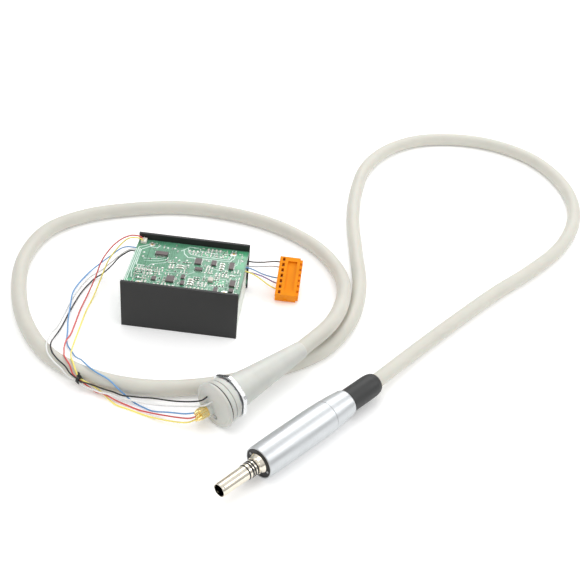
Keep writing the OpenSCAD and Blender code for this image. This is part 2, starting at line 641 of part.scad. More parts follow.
module insulation_sheet() {
  color([0.88, 0.92, 0.88]) on_box() {
    translate([-half_w + 1, -inner_d, 2]) cube([box_w - 2, 2 * inner_d, 0.6]);
    translate([half_w - 1.6, -inner_d, 0.1]) cube([0.6, 2 * inner_d - 6, 24]);
  }
}
module left_header() {
  color([0.92, 0.92, 0.88]) on_box() {
    translate([-half_w + 1.5, 18, board_z - board_t - 5]) cube([7.5, 10, 5]);
    translate([-half_w + 2.6, 25.4, board_z]) cube([4.4, 5.6, 2.4]);
  }
}
module right_header() {
  color([0.92, 0.92, 0.88]) on_box()
    translate([half_w - 9, 12.6, board_z - board_t - 9.5]) cube([7.5, 16.2, 9.5]);
}
module lead_black() {
  color(black) lead(lead_black_route);
}
module lead_grey() {
  color([0.75, 0.76, 0.78]) lead(lead_grey_route);
}
module lead_blue() {
  color([0.2, 0.3, 0.65]) lead(lead_blue_route);
}
module lead_violet() {
  color([0.45, 0.35, 0.6]) lead(lead_violet_route);
}
module lead_yellow() {
  color([0.9, 0.8, 0.25]) lead(lead_yellow_route);
}

// ---- plug: x along the poles, -y across to the contact side ----

module plug_housing() {
  color(orange) on_plug() difference() {
    union() {
      translate([0, -plug_w + 2, 0]) cube([plug_l, plug_w - 2, plug_h]);
      for (i = [0 : poles - 1])
        translate([(i + 0.5) * pole_pitch - 1.6, -plug_w, 1]) cube([3.2, 2.1, plug_h - 2]);
      translate([-0.6, -10, 1]) cube([0.6, 3, 3]);
    }
    for (i = [0 : poles - 1]) {
      translate([(i + 0.5) * pole_pitch - 1.6, -4.4, 4]) cube([3.2, 2, plug_h]);
      translate([(i + 0.5) * pole_pitch, 1, 5]) rotate([90, 0, 0])
        cylinder(r = wire_r + 0.1, h = 2, $fn = 24);
    }
    translate([5, -14.5, plug_h - 1.8]) cube([plug_l - 9, 7.5, 3]);
  }
}
module plug_clamps() {
  color(silver) on_plug()
    for (i = [0 : poles - 1])
      translate([(i + 0.5) * pole_pitch - 1.2, -4.2, 4]) cube([2.4, 1.6, 2.6]);
}

barrel_sleeve();
rear_sleeve();
front_plate();
coupling_nose();
nose_collar();
nose_o_rings();
nose_seal_ring();
light_windows();
stator_core();
stator_windings();
rear_housing();
rear_connector();
connector_pins();
rear_boot();
front_bearing_outer();
rear_bearing_outer();
rotor_shaft();
rotor_magnet();
front_bearing_inner();
rear_bearing_inner();
front_bearing_balls();
rear_bearing_balls();
drive_dog();
dog_spring();
hose();
gland_flange();
gland_gasket();
gland_ring();
gland_washer();
lock_nut();
strain_relief_cone();
contact_cluster();
flange_screw();
wire_black();
wire_white();
wire_red();
wire_yellow();
wire_blue();
cable_tie();
channel_housing();
main_board();
power_board();
board_chips();
board_passives();
capacitors();
power_transistors();
board_pillars();
insulation_sheet();
left_header();
right_header();
lead_black();
lead_grey();
lead_blue();
lead_violet();
lead_yellow();
plug_housing();
plug_clamps();
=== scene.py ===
import json
import math
import random

import bmesh
import bpy
from mathutils import Matrix, Vector


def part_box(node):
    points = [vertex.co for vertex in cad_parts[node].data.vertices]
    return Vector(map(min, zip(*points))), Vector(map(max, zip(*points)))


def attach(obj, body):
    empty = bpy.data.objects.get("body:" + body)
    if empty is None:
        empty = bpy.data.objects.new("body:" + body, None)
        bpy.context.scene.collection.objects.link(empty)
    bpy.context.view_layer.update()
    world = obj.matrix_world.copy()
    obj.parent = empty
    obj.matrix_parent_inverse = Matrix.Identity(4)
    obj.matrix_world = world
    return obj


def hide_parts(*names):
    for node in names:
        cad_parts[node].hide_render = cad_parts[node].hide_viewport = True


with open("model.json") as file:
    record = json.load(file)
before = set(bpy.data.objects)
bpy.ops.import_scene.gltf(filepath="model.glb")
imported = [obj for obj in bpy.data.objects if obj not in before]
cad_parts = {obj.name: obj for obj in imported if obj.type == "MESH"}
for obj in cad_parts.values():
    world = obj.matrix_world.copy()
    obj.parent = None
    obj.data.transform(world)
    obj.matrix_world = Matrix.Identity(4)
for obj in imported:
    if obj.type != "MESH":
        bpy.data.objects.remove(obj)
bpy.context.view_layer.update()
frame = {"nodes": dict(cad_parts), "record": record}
MM = 0.001
BOX_TURN = math.radians(-51.5)

# ---- camera: above the table, looking down across the whole set ----

CAMERA_AT = Vector((-0.3843, -0.4044, 0.4896))
CAMERA_LOOKS_AT = Vector((0.1098, 0.0176, 0.0))
CAMERA_ROLL = math.radians(5.8)
CAMERA_LENS = 60.43


def make_camera():
    data = bpy.data.cameras.new("camera")
    data.lens = CAMERA_LENS
    data.sensor_width = 36.0
    data.clip_start = 0.01
    camera = bpy.data.objects.new("camera", data)
    bpy.context.scene.collection.objects.link(camera)
    aim = (CAMERA_LOOKS_AT - CAMERA_AT).to_track_quat("-Z", "Y")
    camera.matrix_world = (
        Matrix.Translation(CAMERA_AT) @ aim.to_matrix().to_4x4() @ Matrix.Rotation(CAMERA_ROLL, 4, "Z")
    )
    bpy.context.scene.camera = camera


make_camera()
bpy.context.scene.view_settings.view_transform = "Standard"

# ---- cords: routes in metres, the same points as the CAD tubes ----

HOSE_RADIUS = 6 * MM
HOSE_RADIUS_AT_MOTOR = 5.5 * MM
HOSE_GROWS_OVER = 0.22
WIRE_RADIUS = 0.55 * MM
CURVE_STEPS = 8

HOSE_ROUTE = [(0.0634, -0.107, 0.012), (0.12, -0.1015, 0.0069), (0.1775, -0.0995, 0.0061),
    (0.234, -0.099, 0.0061), (0.2875, -0.101, 0.0061), (0.3385, -0.098, 0.0061),
    (0.385, -0.084, 0.0061), (0.4225, -0.0595, 0.0061), (0.4485, -0.025, 0.0061),
    (0.46, 0.0145, 0.0061), (0.4525, 0.0545, 0.0061), (0.4295, 0.087, 0.0061),
    (0.394, 0.1105, 0.0061), (0.352, 0.117, 0.0061), (0.3085, 0.108, 0.0061),
    (0.266, 0.084, 0.0061), (0.225, 0.0525, 0.0061), (0.188, 0.0165, 0.0061),
    (0.1515, -0.019, 0.0061), (0.112, -0.0435, 0.0061), (0.0685, -0.0535, 0.0061),
    (0.025, -0.0445, 0.0061), (-0.0175, -0.0285, 0.0061), (-0.054, -0.002, 0.0061),
    (-0.0785, 0.033, 0.0061), (-0.089, 0.074, 0.0061), (-0.081, 0.1165, 0.0061),
    (-0.0605, 0.1565, 0.0061), (-0.032, 0.19, 0.0061), (0.0045, 0.2105, 0.0061),
    (0.044, 0.2085, 0.0061), (0.0835, 0.1905, 0.0061), (0.1195, 0.1645, 0.0061),
    (0.147, 0.128, 0.0061), (0.1635, 0.0875, 0.0062), (0.1665, 0.0445, 0.0061),
    (0.1525, 0.0055, 0.008), (0.124, -0.0245, 0.0143), (0.0855, -0.0455, 0.0195),
    (0.043, -0.052, 0.0194)]
WIRE_BLACK_ROUTE = [(-0.0415, -0.0452, 0.0212), (-0.048, -0.043, 0.019), (-0.054, -0.027, 0.011),
    (-0.061, -0.009, 0.0055), (-0.066, -0.003, 0.005), (-0.071, 0.003, 0.005),
    (-0.0752, 0.007, 0.0056), (-0.078, 0.014, 0.0058), (-0.081, 0.02, 0.006),
    (-0.0838, 0.025, 0.0068), (-0.0879, 0.03, 0.0088), (-0.0907, 0.0345, 0.0091),
    (-0.0908, 0.0395, 0.0091), (-0.0923, 0.0445, 0.0113), (-0.0915, 0.051, 0.013),
    (-0.0915, 0.06, 0.0136), (-0.0903, 0.068, 0.014), (-0.087, 0.075, 0.0136),
    (-0.0815, 0.082, 0.0108), (-0.073, 0.091, 0.0045), (-0.06, 0.101, 0.001),
    (-0.042, 0.114, 0.001), (-0.022, 0.127, 0.001), (-0.005, 0.134, 0.0015),
    (0.003, 0.132, 0.005), (0.008, 0.127, 0.013), (0.012, 0.122, 0.022), (0.015, 0.116, 0.029),
    (0.0175, 0.1124, 0.032), (0.0212, 0.1077, 0.032)]
WIRE_WHITE_ROUTE = [(-0.0415, -0.0504, 0.0201), (-0.048, -0.046, 0.0165), (-0.057, -0.028, 0.009),
    (-0.066, -0.011, 0.0044), (-0.073, 0.001, 0.004), (-0.0775, 0.008, 0.0038),
    (-0.0806, 0.014, 0.0047), (-0.0848, 0.02, 0.0053), (-0.0865, 0.025, 0.005),
    (-0.0888, 0.03, 0.0058), (-0.0907, 0.0345, 0.0071), (-0.0908, 0.0395, 0.0071),
    (-0.0938, 0.045, 0.0088), (-0.094, 0.052, 0.0113), (-0.0943, 0.061, 0.0126),
    (-0.093, 0.07, 0.014), (-0.0885, 0.078, 0.0145), (-0.0815, 0.086, 0.011),
    (-0.072, 0.096, 0.005), (-0.059, 0.1055, 0.001), (-0.042, 0.118, 0.001),
    (-0.024, 0.13, 0.001), (-0.007, 0.138, 0.0015), (0.004, 0.136, 0.005),
    (0.0095, 0.1305, 0.013), (0.014, 0.124, 0.022), (0.017, 0.118, 0.029),
    (0.0195, 0.1139, 0.032), (0.0232, 0.1092, 0.032)]
WIRE_RED_ROUTE = [(-0.0535, -0.0472, 0.011), (-0.059, -0.0435, 0.01), (-0.065, -0.028, 0.005),
    (-0.0718, -0.0105, 0.0012), (-0.076, 0.001, 0.001), (-0.0793, 0.0086, 0.002),
    (-0.0813, 0.014, 0.0032), (-0.0828, 0.02, 0.003), (-0.0844, 0.025, 0.0018),
    (-0.0864, 0.03, 0.004), (-0.0887, 0.0345, 0.0071), (-0.0888, 0.039, 0.0071),
    (-0.0902, 0.044, 0.0095), (-0.0883, 0.05, 0.0127), (-0.0868, 0.056, 0.0131),
    (-0.0846, 0.062, 0.0122), (-0.0805, 0.068, 0.0092), (-0.075, 0.076, 0.0056),
    (-0.068, 0.083, 0.004), (-0.06, 0.089, 0.0015), (-0.05, 0.0975, 0.001),
    (-0.036, 0.1095, 0.001), (-0.02, 0.121, 0.002), (-0.008, 0.127, 0.009), (0.002, 0.131, 0.019),
    (0.011, 0.1295, 0.029), (0.018, 0.1255, 0.036), (0.0235, 0.121, 0.0395),
    (0.0264, 0.1162, 0.0408), (0.0281, 0.1138, 0.0402), (0.0296, 0.1118, 0.0382)]
WIRE_YELLOW_ROUTE = [(-0.0535, -0.0472, 0.0082), (-0.06, -0.044, 0.007), (-0.0655, -0.034, 0.0045),
    (-0.0715, -0.0185, 0.0012), (-0.078, -0.002, 0.0009), (-0.0813, 0.006, 0.0009),
    (-0.0818, 0.013, 0.0009), (-0.0814, 0.019, 0.0012), (-0.0823, 0.025, 0.0028),
    (-0.0855, 0.03, 0.0064), (-0.0887, 0.0345, 0.0091), (-0.0888, 0.0395, 0.0091),
    (-0.0874, 0.045, 0.0121), (-0.0853, 0.05, 0.013), (-0.0832, 0.055, 0.0126),
    (-0.0802, 0.06, 0.0098), (-0.076, 0.066, 0.0065), (-0.07, 0.073, 0.004),
    (-0.06, 0.083, 0.001), (-0.05, 0.0915, 0.001), (-0.034, 0.105, 0.001), (-0.018, 0.116, 0.002),
    (-0.005, 0.1235, 0.009), (0.005, 0.127, 0.019), (0.012, 0.125, 0.0285),
    (0.0175, 0.122, 0.0355), (0.021, 0.1186, 0.0395), (0.0243, 0.114, 0.0408),
    (0.0265, 0.1112, 0.0402), (0.0284, 0.1088, 0.0382)]
WIRE_BLUE_ROUTE = [(-0.0535, -0.046, 0.0136), (-0.059, -0.041, 0.0125), (-0.064, -0.03, 0.009),
    (-0.067, -0.017, 0.0025), (-0.069, -0.008, 0.0012), (-0.071, 0, 0.0016),
    (-0.0726, 0.007, 0.0042), (-0.0751, 0.013, 0.0089), (-0.0764, 0.018, 0.012),
    (-0.0775, 0.024, 0.0131), (-0.079, 0.031, 0.0133), (-0.0795, 0.039, 0.0133),
    (-0.0785, 0.046, 0.0122), (-0.0765, 0.053, 0.0093), (-0.0745, 0.06, 0.005),
    (-0.0725, 0.067, 0.0016), (-0.0705, 0.074, 0.0009), (-0.069, 0.08, 0.0009),
    (-0.066, 0.086, 0.0009), (-0.06, 0.093, 0.0012), (-0.053, 0.102, 0.0029),
    (-0.046, 0.11, 0.0032), (-0.038, 0.119, 0.0033), (-0.03, 0.128, 0.0028),
    (-0.02, 0.136, 0.0012), (-0.008, 0.142, 0.001), (0.002, 0.1445, 0.0025),
    (0.011, 0.142, 0.008), (0.017, 0.136, 0.016), (0.019, 0.128, 0.025), (0.0196, 0.1205, 0.0305),
    (0.0216, 0.1154, 0.032), (0.0252, 0.1108, 0.032)]
LEAD_BLACK_ROUTE = [(0.0795, 0.0441, 0.031), (0.0815, 0.042, 0.0309), (0.0838, 0.0402, 0.0304),
    (0.0864, 0.039, 0.0297), (0.0891, 0.0383, 0.0288), (0.0918, 0.0381, 0.0277),
    (0.0945, 0.0382, 0.0264), (0.0971, 0.0386, 0.0252), (0.0997, 0.0391, 0.0239),
    (0.1023, 0.0396, 0.0225), (0.1049, 0.0401, 0.0212), (0.1075, 0.0404, 0.02),
    (0.1102, 0.0404, 0.0188), (0.1129, 0.0396, 0.0178), (0.1151, 0.0378, 0.0175)]
LEAD_GREY_ROUTE = [(0.0777, 0.0427, 0.0283), (0.0796, 0.0409, 0.0279), (0.0819, 0.0395, 0.0272),
    (0.0843, 0.0387, 0.0264), (0.0868, 0.0382, 0.0255), (0.0894, 0.038, 0.0245),
    (0.0919, 0.0378, 0.0235), (0.0944, 0.0378, 0.0225), (0.0969, 0.0378, 0.0214),
    (0.0994, 0.0379, 0.0203), (0.1019, 0.0378, 0.0193), (0.1044, 0.0376, 0.0182),
    (0.1068, 0.0372, 0.0172), (0.1092, 0.0363, 0.0162), (0.1112, 0.0347, 0.0155)]
LEAD_BLUE_ROUTE = [(0.074, 0.0398, 0.03), (0.076, 0.0381, 0.0294), (0.0782, 0.0372, 0.0281),
    (0.0804, 0.0367, 0.0265), (0.0825, 0.0365, 0.0248), (0.0846, 0.0364, 0.023),
    (0.0867, 0.0363, 0.0212), (0.0888, 0.0361, 0.0194), (0.0909, 0.0359, 0.0177),
    (0.0931, 0.0354, 0.0161), (0.0953, 0.0348, 0.0146), (0.0975, 0.0338, 0.0134),
    (0.0996, 0.0324, 0.0124), (0.1017, 0.0306, 0.0118), (0.1035, 0.0286, 0.0116)]
LEAD_VIOLET_ROUTE = [(0.0723, 0.0384, 0.0276), (0.074, 0.0364, 0.0273), (0.0758, 0.0346, 0.0268),
    (0.0778, 0.0331, 0.026), (0.0799, 0.0318, 0.0249), (0.0819, 0.0308, 0.0236),
    (0.084, 0.0301, 0.0222), (0.086, 0.0297, 0.0206), (0.088, 0.0294, 0.0189),
    (0.09, 0.0292, 0.0171), (0.0919, 0.029, 0.0154), (0.0939, 0.0287, 0.0136),
    (0.0958, 0.0282, 0.0119), (0.0978, 0.0273, 0.0105), (0.0996, 0.0256, 0.0096)]
LEAD_YELLOW_ROUTE = [(0.0704, 0.0369, 0.0295), (0.0722, 0.035, 0.029), (0.0741, 0.0334, 0.028),
    (0.076, 0.0321, 0.0266), (0.0779, 0.0311, 0.0249), (0.0797, 0.0303, 0.0231),
    (0.0815, 0.0297, 0.0212), (0.0832, 0.0291, 0.0193), (0.085, 0.0285, 0.0173),
    (0.0867, 0.0279, 0.0154), (0.0885, 0.0273, 0.0134), (0.0903, 0.0266, 0.0116),
    (0.0921, 0.0257, 0.0098), (0.094, 0.0244, 0.0084), (0.0958, 0.0226, 0.0076)]


def smooth_line(points, low):
    """A Catmull-Rom curve through the points, never lower than low."""
    pts = [Vector(p) for p in points]
    pts = [2 * pts[0] - pts[1], *pts, 2 * pts[-1] - pts[-2]]
    line = []
    for a, b, c, d in zip(pts, pts[1:], pts[2:], pts[3:]):
        slope = c - a
        bend = 2 * a - 5 * b + 4 * c - d
        turn = 3 * b - a - 3 * c + d
        for k in range(CURVE_STEPS):
            t = k / CURVE_STEPS
            p = 0.5 * (2 * b + slope * t + bend * t**2 + turn * t**3)
            line.append(Vector((p.x, p.y, max(p.z, low))))
    line.append(pts[-2])
    return line


def cord_piece(name, line, radius, start_radius, sides):
    """A round cord as one open curve, which grows from start_radius to radius over HOSE_GROWS_OVER.
    The curve's bevel is 1, so each point's own radius is the cord's radius in metres there."""
    data = bpy.data.curves.new(name, "CURVE")
    data.dimensions = "3D"
    data.bevel_depth = 1.0
    data.bevel_resolution = sides
    data.use_fill_caps = True
    spline = data.splines.new("POLY")
    spline.points.add(len(line) - 1)
    spline.use_smooth = True
    run = 0.0
    for i, (point, at) in enumerate(zip(spline.points, line)):
        run += (at - line[i - 1]).length if i else 0.0
        point.co = (*at, 1.0)
        point.radius = start_radius + (radius - start_radius) * min(1.0, run / HOSE_GROWS_OVER)
    piece = bpy.data.objects.new(name, data)
    bpy.context.scene.collection.objects.link(piece)
    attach(piece, "set")
    return piece


def declare_cord(
    name, route, node,
    radius=WIRE_RADIUS, start_radius=WIRE_RADIUS, sides=4,
):
    line = smooth_line(route, radius)
    piece = cord_piece(name, line, radius, start_radius, sides)
    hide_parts(node)
    return piece


cords = {
    "hose": declare_cord(
        "silicone_hose", HOSE_ROUTE, "hose",
        radius=HOSE_RADIUS, start_radius=HOSE_RADIUS_AT_MOTOR, sides=10,
    )
}
for colour, route in (
    ("black", WIRE_BLACK_ROUTE),
    ("white", WIRE_WHITE_ROUTE),
    ("red", WIRE_RED_ROUTE),
    ("yellow", WIRE_YELLOW_ROUTE),
    ("blue", WIRE_BLUE_ROUTE),
):
    node = "wire_" + colour
    cords[node] = declare_cord("coupling_wire_" + colour, route, node)
for colour, route in (
    ("black", LEAD_BLACK_ROUTE),
    ("grey", LEAD_GREY_ROUTE),
    ("blue", LEAD_BLUE_ROUTE),
    ("violet", LEAD_VIOLET_ROUTE),
    ("yellow", LEAD_YELLOW_ROUTE),
):
    node = "lead_" + colour
    cords[node] = declare_cord(
        "plug_lead_" + colour, route, node,
    )

# ---- materials ----


def srgb(r, g, b):
    """A screen colour from 0 to 255 as linear values."""
    return tuple(c / 255 / 12.92 if c < 10.3 else ((c / 255 + 0.055) / 1.055) ** 2.4 for c in (r, g, b))


class Paint:
    """A material under construction: its node tree, its shader and short ways to add nodes."""

    def __init__(self, name, **sockets):
        self.mat = bpy.data.materials.new(name)
        self.mat.use_nodes = True
        self.tree = self.mat.node_tree
        self.shader = self.tree.nodes["Principled BSDF"]
        for socket, value in sockets.items():
            self.shader.inputs[socket.replace("_", " ")].default_value = value
        self.place = self.add("ShaderNodeTexCoord").outputs["Object"]

    def add(self, kind, **settings):
        node = self.tree.nodes.new(kind)
        for key, value in settings.items():
            setattr(node, key, value)
        return node

    def link(self, a, b):
        self.tree.links.new(a, b)

    def mapped(self, stretch=(1, 1, 1), turn=0.0):
        node = self.add("ShaderNodeMapping", vector_type="POINT")
        node.inputs["Scale"].default_value = stretch
        node.inputs["Rotation"].default_value = (0, 0, turn)
        self.link(self.place, node.inputs["Vector"])
        return node.outputs["Vector"]

    def noise(self, scale, detail=3.0, vector=None):
        node = self.add("ShaderNodeTexNoise")
        node.inputs["Scale"].default_value = scale
        node.inputs["Detail"].default_value = detail
        node.inputs["Roughness"].default_value = 0.55
        self.link(vector or self.place, node.inputs["Vector"])
        return node.outputs["Fac"]

    def cells(self, scale):
        node = self.add("ShaderNodeTexVoronoi", feature="F1")
        node.inputs["Scale"].default_value = scale
        self.link(self.place, node.inputs["Vector"])
        return node.outputs["Distance"]

    def waves(self, scale, axis, distortion, vector=None):
        node = self.add("ShaderNodeTexWave", bands_direction=axis, wave_profile="SIN")
        node.inputs["Scale"].default_value = scale
        node.inputs["Distortion"].default_value = distortion
        node.inputs["Detail"].default_value = 2.0
        self.link(vector or self.place, node.inputs["Vector"])
        return node.outputs["Fac"]

    def ramp(self, fac, stops):
        node = self.add("ShaderNodeValToRGB")
        band = node.color_ramp
        while len(band.elements) < len(stops):
            band.elements.new(0.5)
        for element, (at, colour) in zip(band.elements, stops):
            element.position = at
            element.color = (*colour, 1.0)
        self.link(fac, node.inputs["Fac"])
        return node.outputs["Color"]

    def between(self, fac, low, high, start=0.3, end=0.7):
        node = self.add("ShaderNodeMapRange")
        node.inputs["From Min"].default_value = start
        node.inputs["From Max"].default_value = end
        node.inputs["To Min"].default_value = low
        node.inputs["To Max"].default_value = high
        self.link(fac, node.inputs["Value"])
        return node.outputs["Result"]

    def mix(self, fac, a, b):
        node = self.add("ShaderNodeMix", data_type="RGBA", blend_type="MIX")
        factor, first, second = node.inputs["Factor"], node.inputs[6], node.inputs[7]
        if isinstance(fac, float):
            factor.default_value = fac
        else:
            self.link(fac, factor)
        self.link(a, first)
        self.link(b, second)
        return node.outputs[2]

    def near_axis(self, radius):
        """0 inside a radius about the motor's axis, 1 outside it."""
        lo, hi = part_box("nose_seal_ring")
        off = self.add("ShaderNodeVectorMath", operation="SUBTRACT")
        off.inputs[1].default_value = (lo + hi) / 2
        flat = self.add("ShaderNodeVectorMath", operation="MULTIPLY")
        flat.inputs[1].default_value = (0, 1, 1)
        length = self.add("ShaderNodeVectorMath", operation="LENGTH")
        self.link(self.place, off.inputs[0])
        self.link(off.outputs["Vector"], flat.inputs[0])
        self.link(flat.outputs["Vector"], length.inputs[0])
        return self.between(length.outputs["Value"], 0.0, 1.0, radius - 0.1 * MM, radius + 0.1 * MM)

    def colour(self, out):
        self.link(out, self.shader.inputs["Base Color"])

    def rough(self, out):
        self.link(out, self.shader.inputs["Roughness"])

    def bump(self, height, strength, depth=0.1 * MM):
        node = self.add("ShaderNodeBump")
        node.inputs["Strength"].default_value = strength
        node.inputs["Distance"].default_value = depth
        self.link(height, node.inputs["Height"])
        last = self.shader.inputs["Normal"]
        if last.links:
            self.link(last.links[0].from_socket, node.inputs["Normal"])
        self.link(node.outputs["Normal"], last)


def scaled(colour, k):
    return tuple(min(1.0, c * k) for c in colour)


def moulded(name, colour, rough=0.45, tint=0.10, grain=2200, bump=0.12, **sockets):
    """Plastic or rubber: a fine moulded grain, and slow patches of tone and gloss."""
    p = Paint(name, **sockets)
    slow = p.noise(90, 3)
    fine = p.noise(grain, 2)
    p.colour(p.ramp(slow, [(0.3, scaled(colour, 1 - tint)), (0.7, scaled(colour, 1 + tint))]))
    p.rough(p.between(slow, rough - 0.05, rough + 0.07))
    p.bump(fine, bump, 0.05 * MM)
    return p.mat


def turned_metal(name, colour, rough, tint=0.06, bump=0.05, bore=0.0, **sockets):
    """Metal off a lathe: fine rings across the X axis, and faint smears that follow them.
    With bore set, everything nearer than that to the motor's axis is painted dark: painted shade inside the
    bore."""
    p = Paint(name, **{"Metallic": 1.0, **sockets})
    rings = p.waves(2600, "X", 1.5)
    smear = p.noise(60, 4, p.mapped((14, 1, 1)))
    patch = p.noise(35, 3)
    tone = p.ramp(smear, [(0.25, scaled(colour, 1 - tint)), (0.75, scaled(colour, 1 + tint))])
    if bore:
        # painted shade: the bore, and the shaft and dog inside it, are painted dark where shade falls
        bore_painted_shade = p.ramp(patch, [(0.3, srgb(22, 21, 20)), (0.7, srgb(44, 42, 38))])
        tone = p.mix(p.near_axis(bore), bore_painted_shade, tone)
    p.colour(tone)
    p.rough(p.between(patch, rough - 0.05, rough + 0.08))
    p.bump(rings, bump, 0.02 * MM)
    p.bump(smear, bump * 0.6, 0.02 * MM)
    return p.mat


def plated(name, colour, rough, tint=0.08):
    """Bright plating: nearly smooth, with slow waves and specks of wear."""
    p = Paint(name, Metallic=1.0)
    slow = p.noise(160, 3)
    specks = p.cells(1400)
    p.colour(p.ramp(slow, [(0.3, scaled(colour, 1 - tint)), (0.72, scaled(colour, 1 + tint))]))
    p.rough(p.between(specks, rough + 0.10, rough, 0.02, 0.30))
    p.bump(slow, 0.05, 0.05 * MM)
    return p.mat


def cord_skin(name, colour, rough, tint, **sockets):
    """An extruded skin: faint blotches and a fine drawn grain."""
    p = Paint(name, **sockets)
    slow = p.noise(45, 4)
    fine = p.noise(1500, 3)
    p.colour(p.ramp(slow, [(0.28, scaled(colour, 1 - tint)), (0.72, scaled(colour, 1 + tint))]))
    p.rough(p.between(slow, rough - 0.06, rough + 0.06))
    p.bump(fine, 0.10, 0.04 * MM)
    return p.mat


def solder_mask(name):
    """A circuit board: copper areas show lighter through the green mask, with fine tracks between."""
    p = Paint(name, Roughness=0.34, Coat_Weight=0.35, Coat_Roughness=0.2)
    along = p.mapped(turn=-BOX_TURN)
    pour = p.ramp(p.noise(75, 2, along), [(0.46, (0, 0, 0)), (0.52, (1, 1, 1))])
    lines = p.ramp(p.waves(190, "X", 6.0, along), [(0.55, (0, 0, 0)), (0.68, (1, 1, 1))])
    cross = p.ramp(p.waves(230, "Y", 7.0, along), [(0.62, (0, 0, 0)), (0.72, (1, 1, 1))])
    deep = p.ramp(p.noise(50, 2), [(0.3, srgb(52, 106, 78)), (0.7, srgb(64, 122, 90))])
    light = p.ramp(p.noise(300, 2), [(0.3, srgb(76, 138, 106)), (0.7, srgb(92, 154, 122))])
    tracks = p.mix(lines, deep, light)
    tracks = p.mix(cross, tracks, light)
    p.colour(p.mix(pour, tracks, light))
    p.bump(p.mix(0.5, lines, pour), 0.25, 0.05 * MM)
    return p.mat


def track_paint(name):
    """Tinned tracks and white print seen through the lacquer."""
    p = Paint(name, Roughness=0.35)
    slow = p.noise(260, 3)
    p.colour(p.ramp(slow, [(0.3, srgb(176, 208, 192)), (0.6, srgb(216, 232, 224))]))
    p.bump(p.noise(2200, 2), 0.1, 0.03 * MM)
    return p.mat


def island_paint(name):
    """Green lacquer over a plain area of copper."""
    p = Paint(name, Roughness=0.3, Coat_Weight=0.3)
    p.colour(p.ramp(p.noise(240, 3), [(0.3, srgb(70, 158, 112)), (0.7, srgb(86, 172, 126))]))
    p.bump(p.noise(1500, 2), 0.12, 0.03 * MM)
    return p.mat


def coated_steel(name):
    """A black satin coating on sheet metal, rubbed a little paler in patches."""
    p = Paint(name, Specular_IOR_Level=0.45)
    slow = p.noise(28, 4)
    fine = p.noise(1800, 3)
    p.colour(p.ramp(slow, [(0.3, srgb(30, 31, 31)), (0.75, srgb(40, 40, 40))]))
    p.rough(p.between(slow, 0.42, 0.56))
    p.bump(fine, 0.22, 0.05 * MM)
    return p.mat


def film(name):
    """Thin white insulation film that lets a little light through."""
    p = Paint(name, Roughness=0.4, Transmission_Weight=0.15)
    slow = p.noise(60, 3)
    p.colour(p.ramp(slow, [(0.3, srgb(222, 232, 222)), (0.7, srgb(240, 244, 238))]))
    p.bump(slow, 0.2, 0.3 * MM)
    return p.mat


def clear_rod(name):
    """The polished end of a light guide."""
    p = Paint(name, Roughness=0.08, IOR=1.5, Transmission_Weight=0.6)
    p.colour(p.ramp(p.cells(2600), [(0.0, srgb(225, 232, 236)), (0.6, srgb(250, 252, 253))]))
    return p.mat


def wound_copper(name):
    """Enamelled wire, turn beside turn."""
    p = Paint(name, Metallic=0.9)
    turns = p.waves(700, "DIAGONAL", 0.6)
    p.colour(p.ramp(turns, [(0.2, srgb(120, 62, 30)), (0.8, srgb(205, 122, 70))]))
    p.rough(p.between(turns, 0.45, 0.28))
    p.bump(turns, 0.6, 0.15 * MM)
    return p.mat


def laminated(name):
    """Stacked steel sheets, edge on."""
    p = Paint(name, Metallic=0.85)
    sheets = p.waves(900, "X", 0.3)
    p.colour(p.ramp(sheets, [(0.3, srgb(96, 98, 102)), (0.8, srgb(150, 152, 156))]))
    p.rough(p.between(sheets, 0.5, 0.38))
    p.bump(sheets, 0.5, 0.1 * MM)
    return p.mat


# ---- one material for each of the record's slots ----

OWN_MATERIALS = {
    "light_glass": clear_rod,
    "core_steel": laminated,
    "copper": wound_copper,
    "housing_black": coated_steel,
    "board_green": solder_mask,
    "sheet_white": film,
}
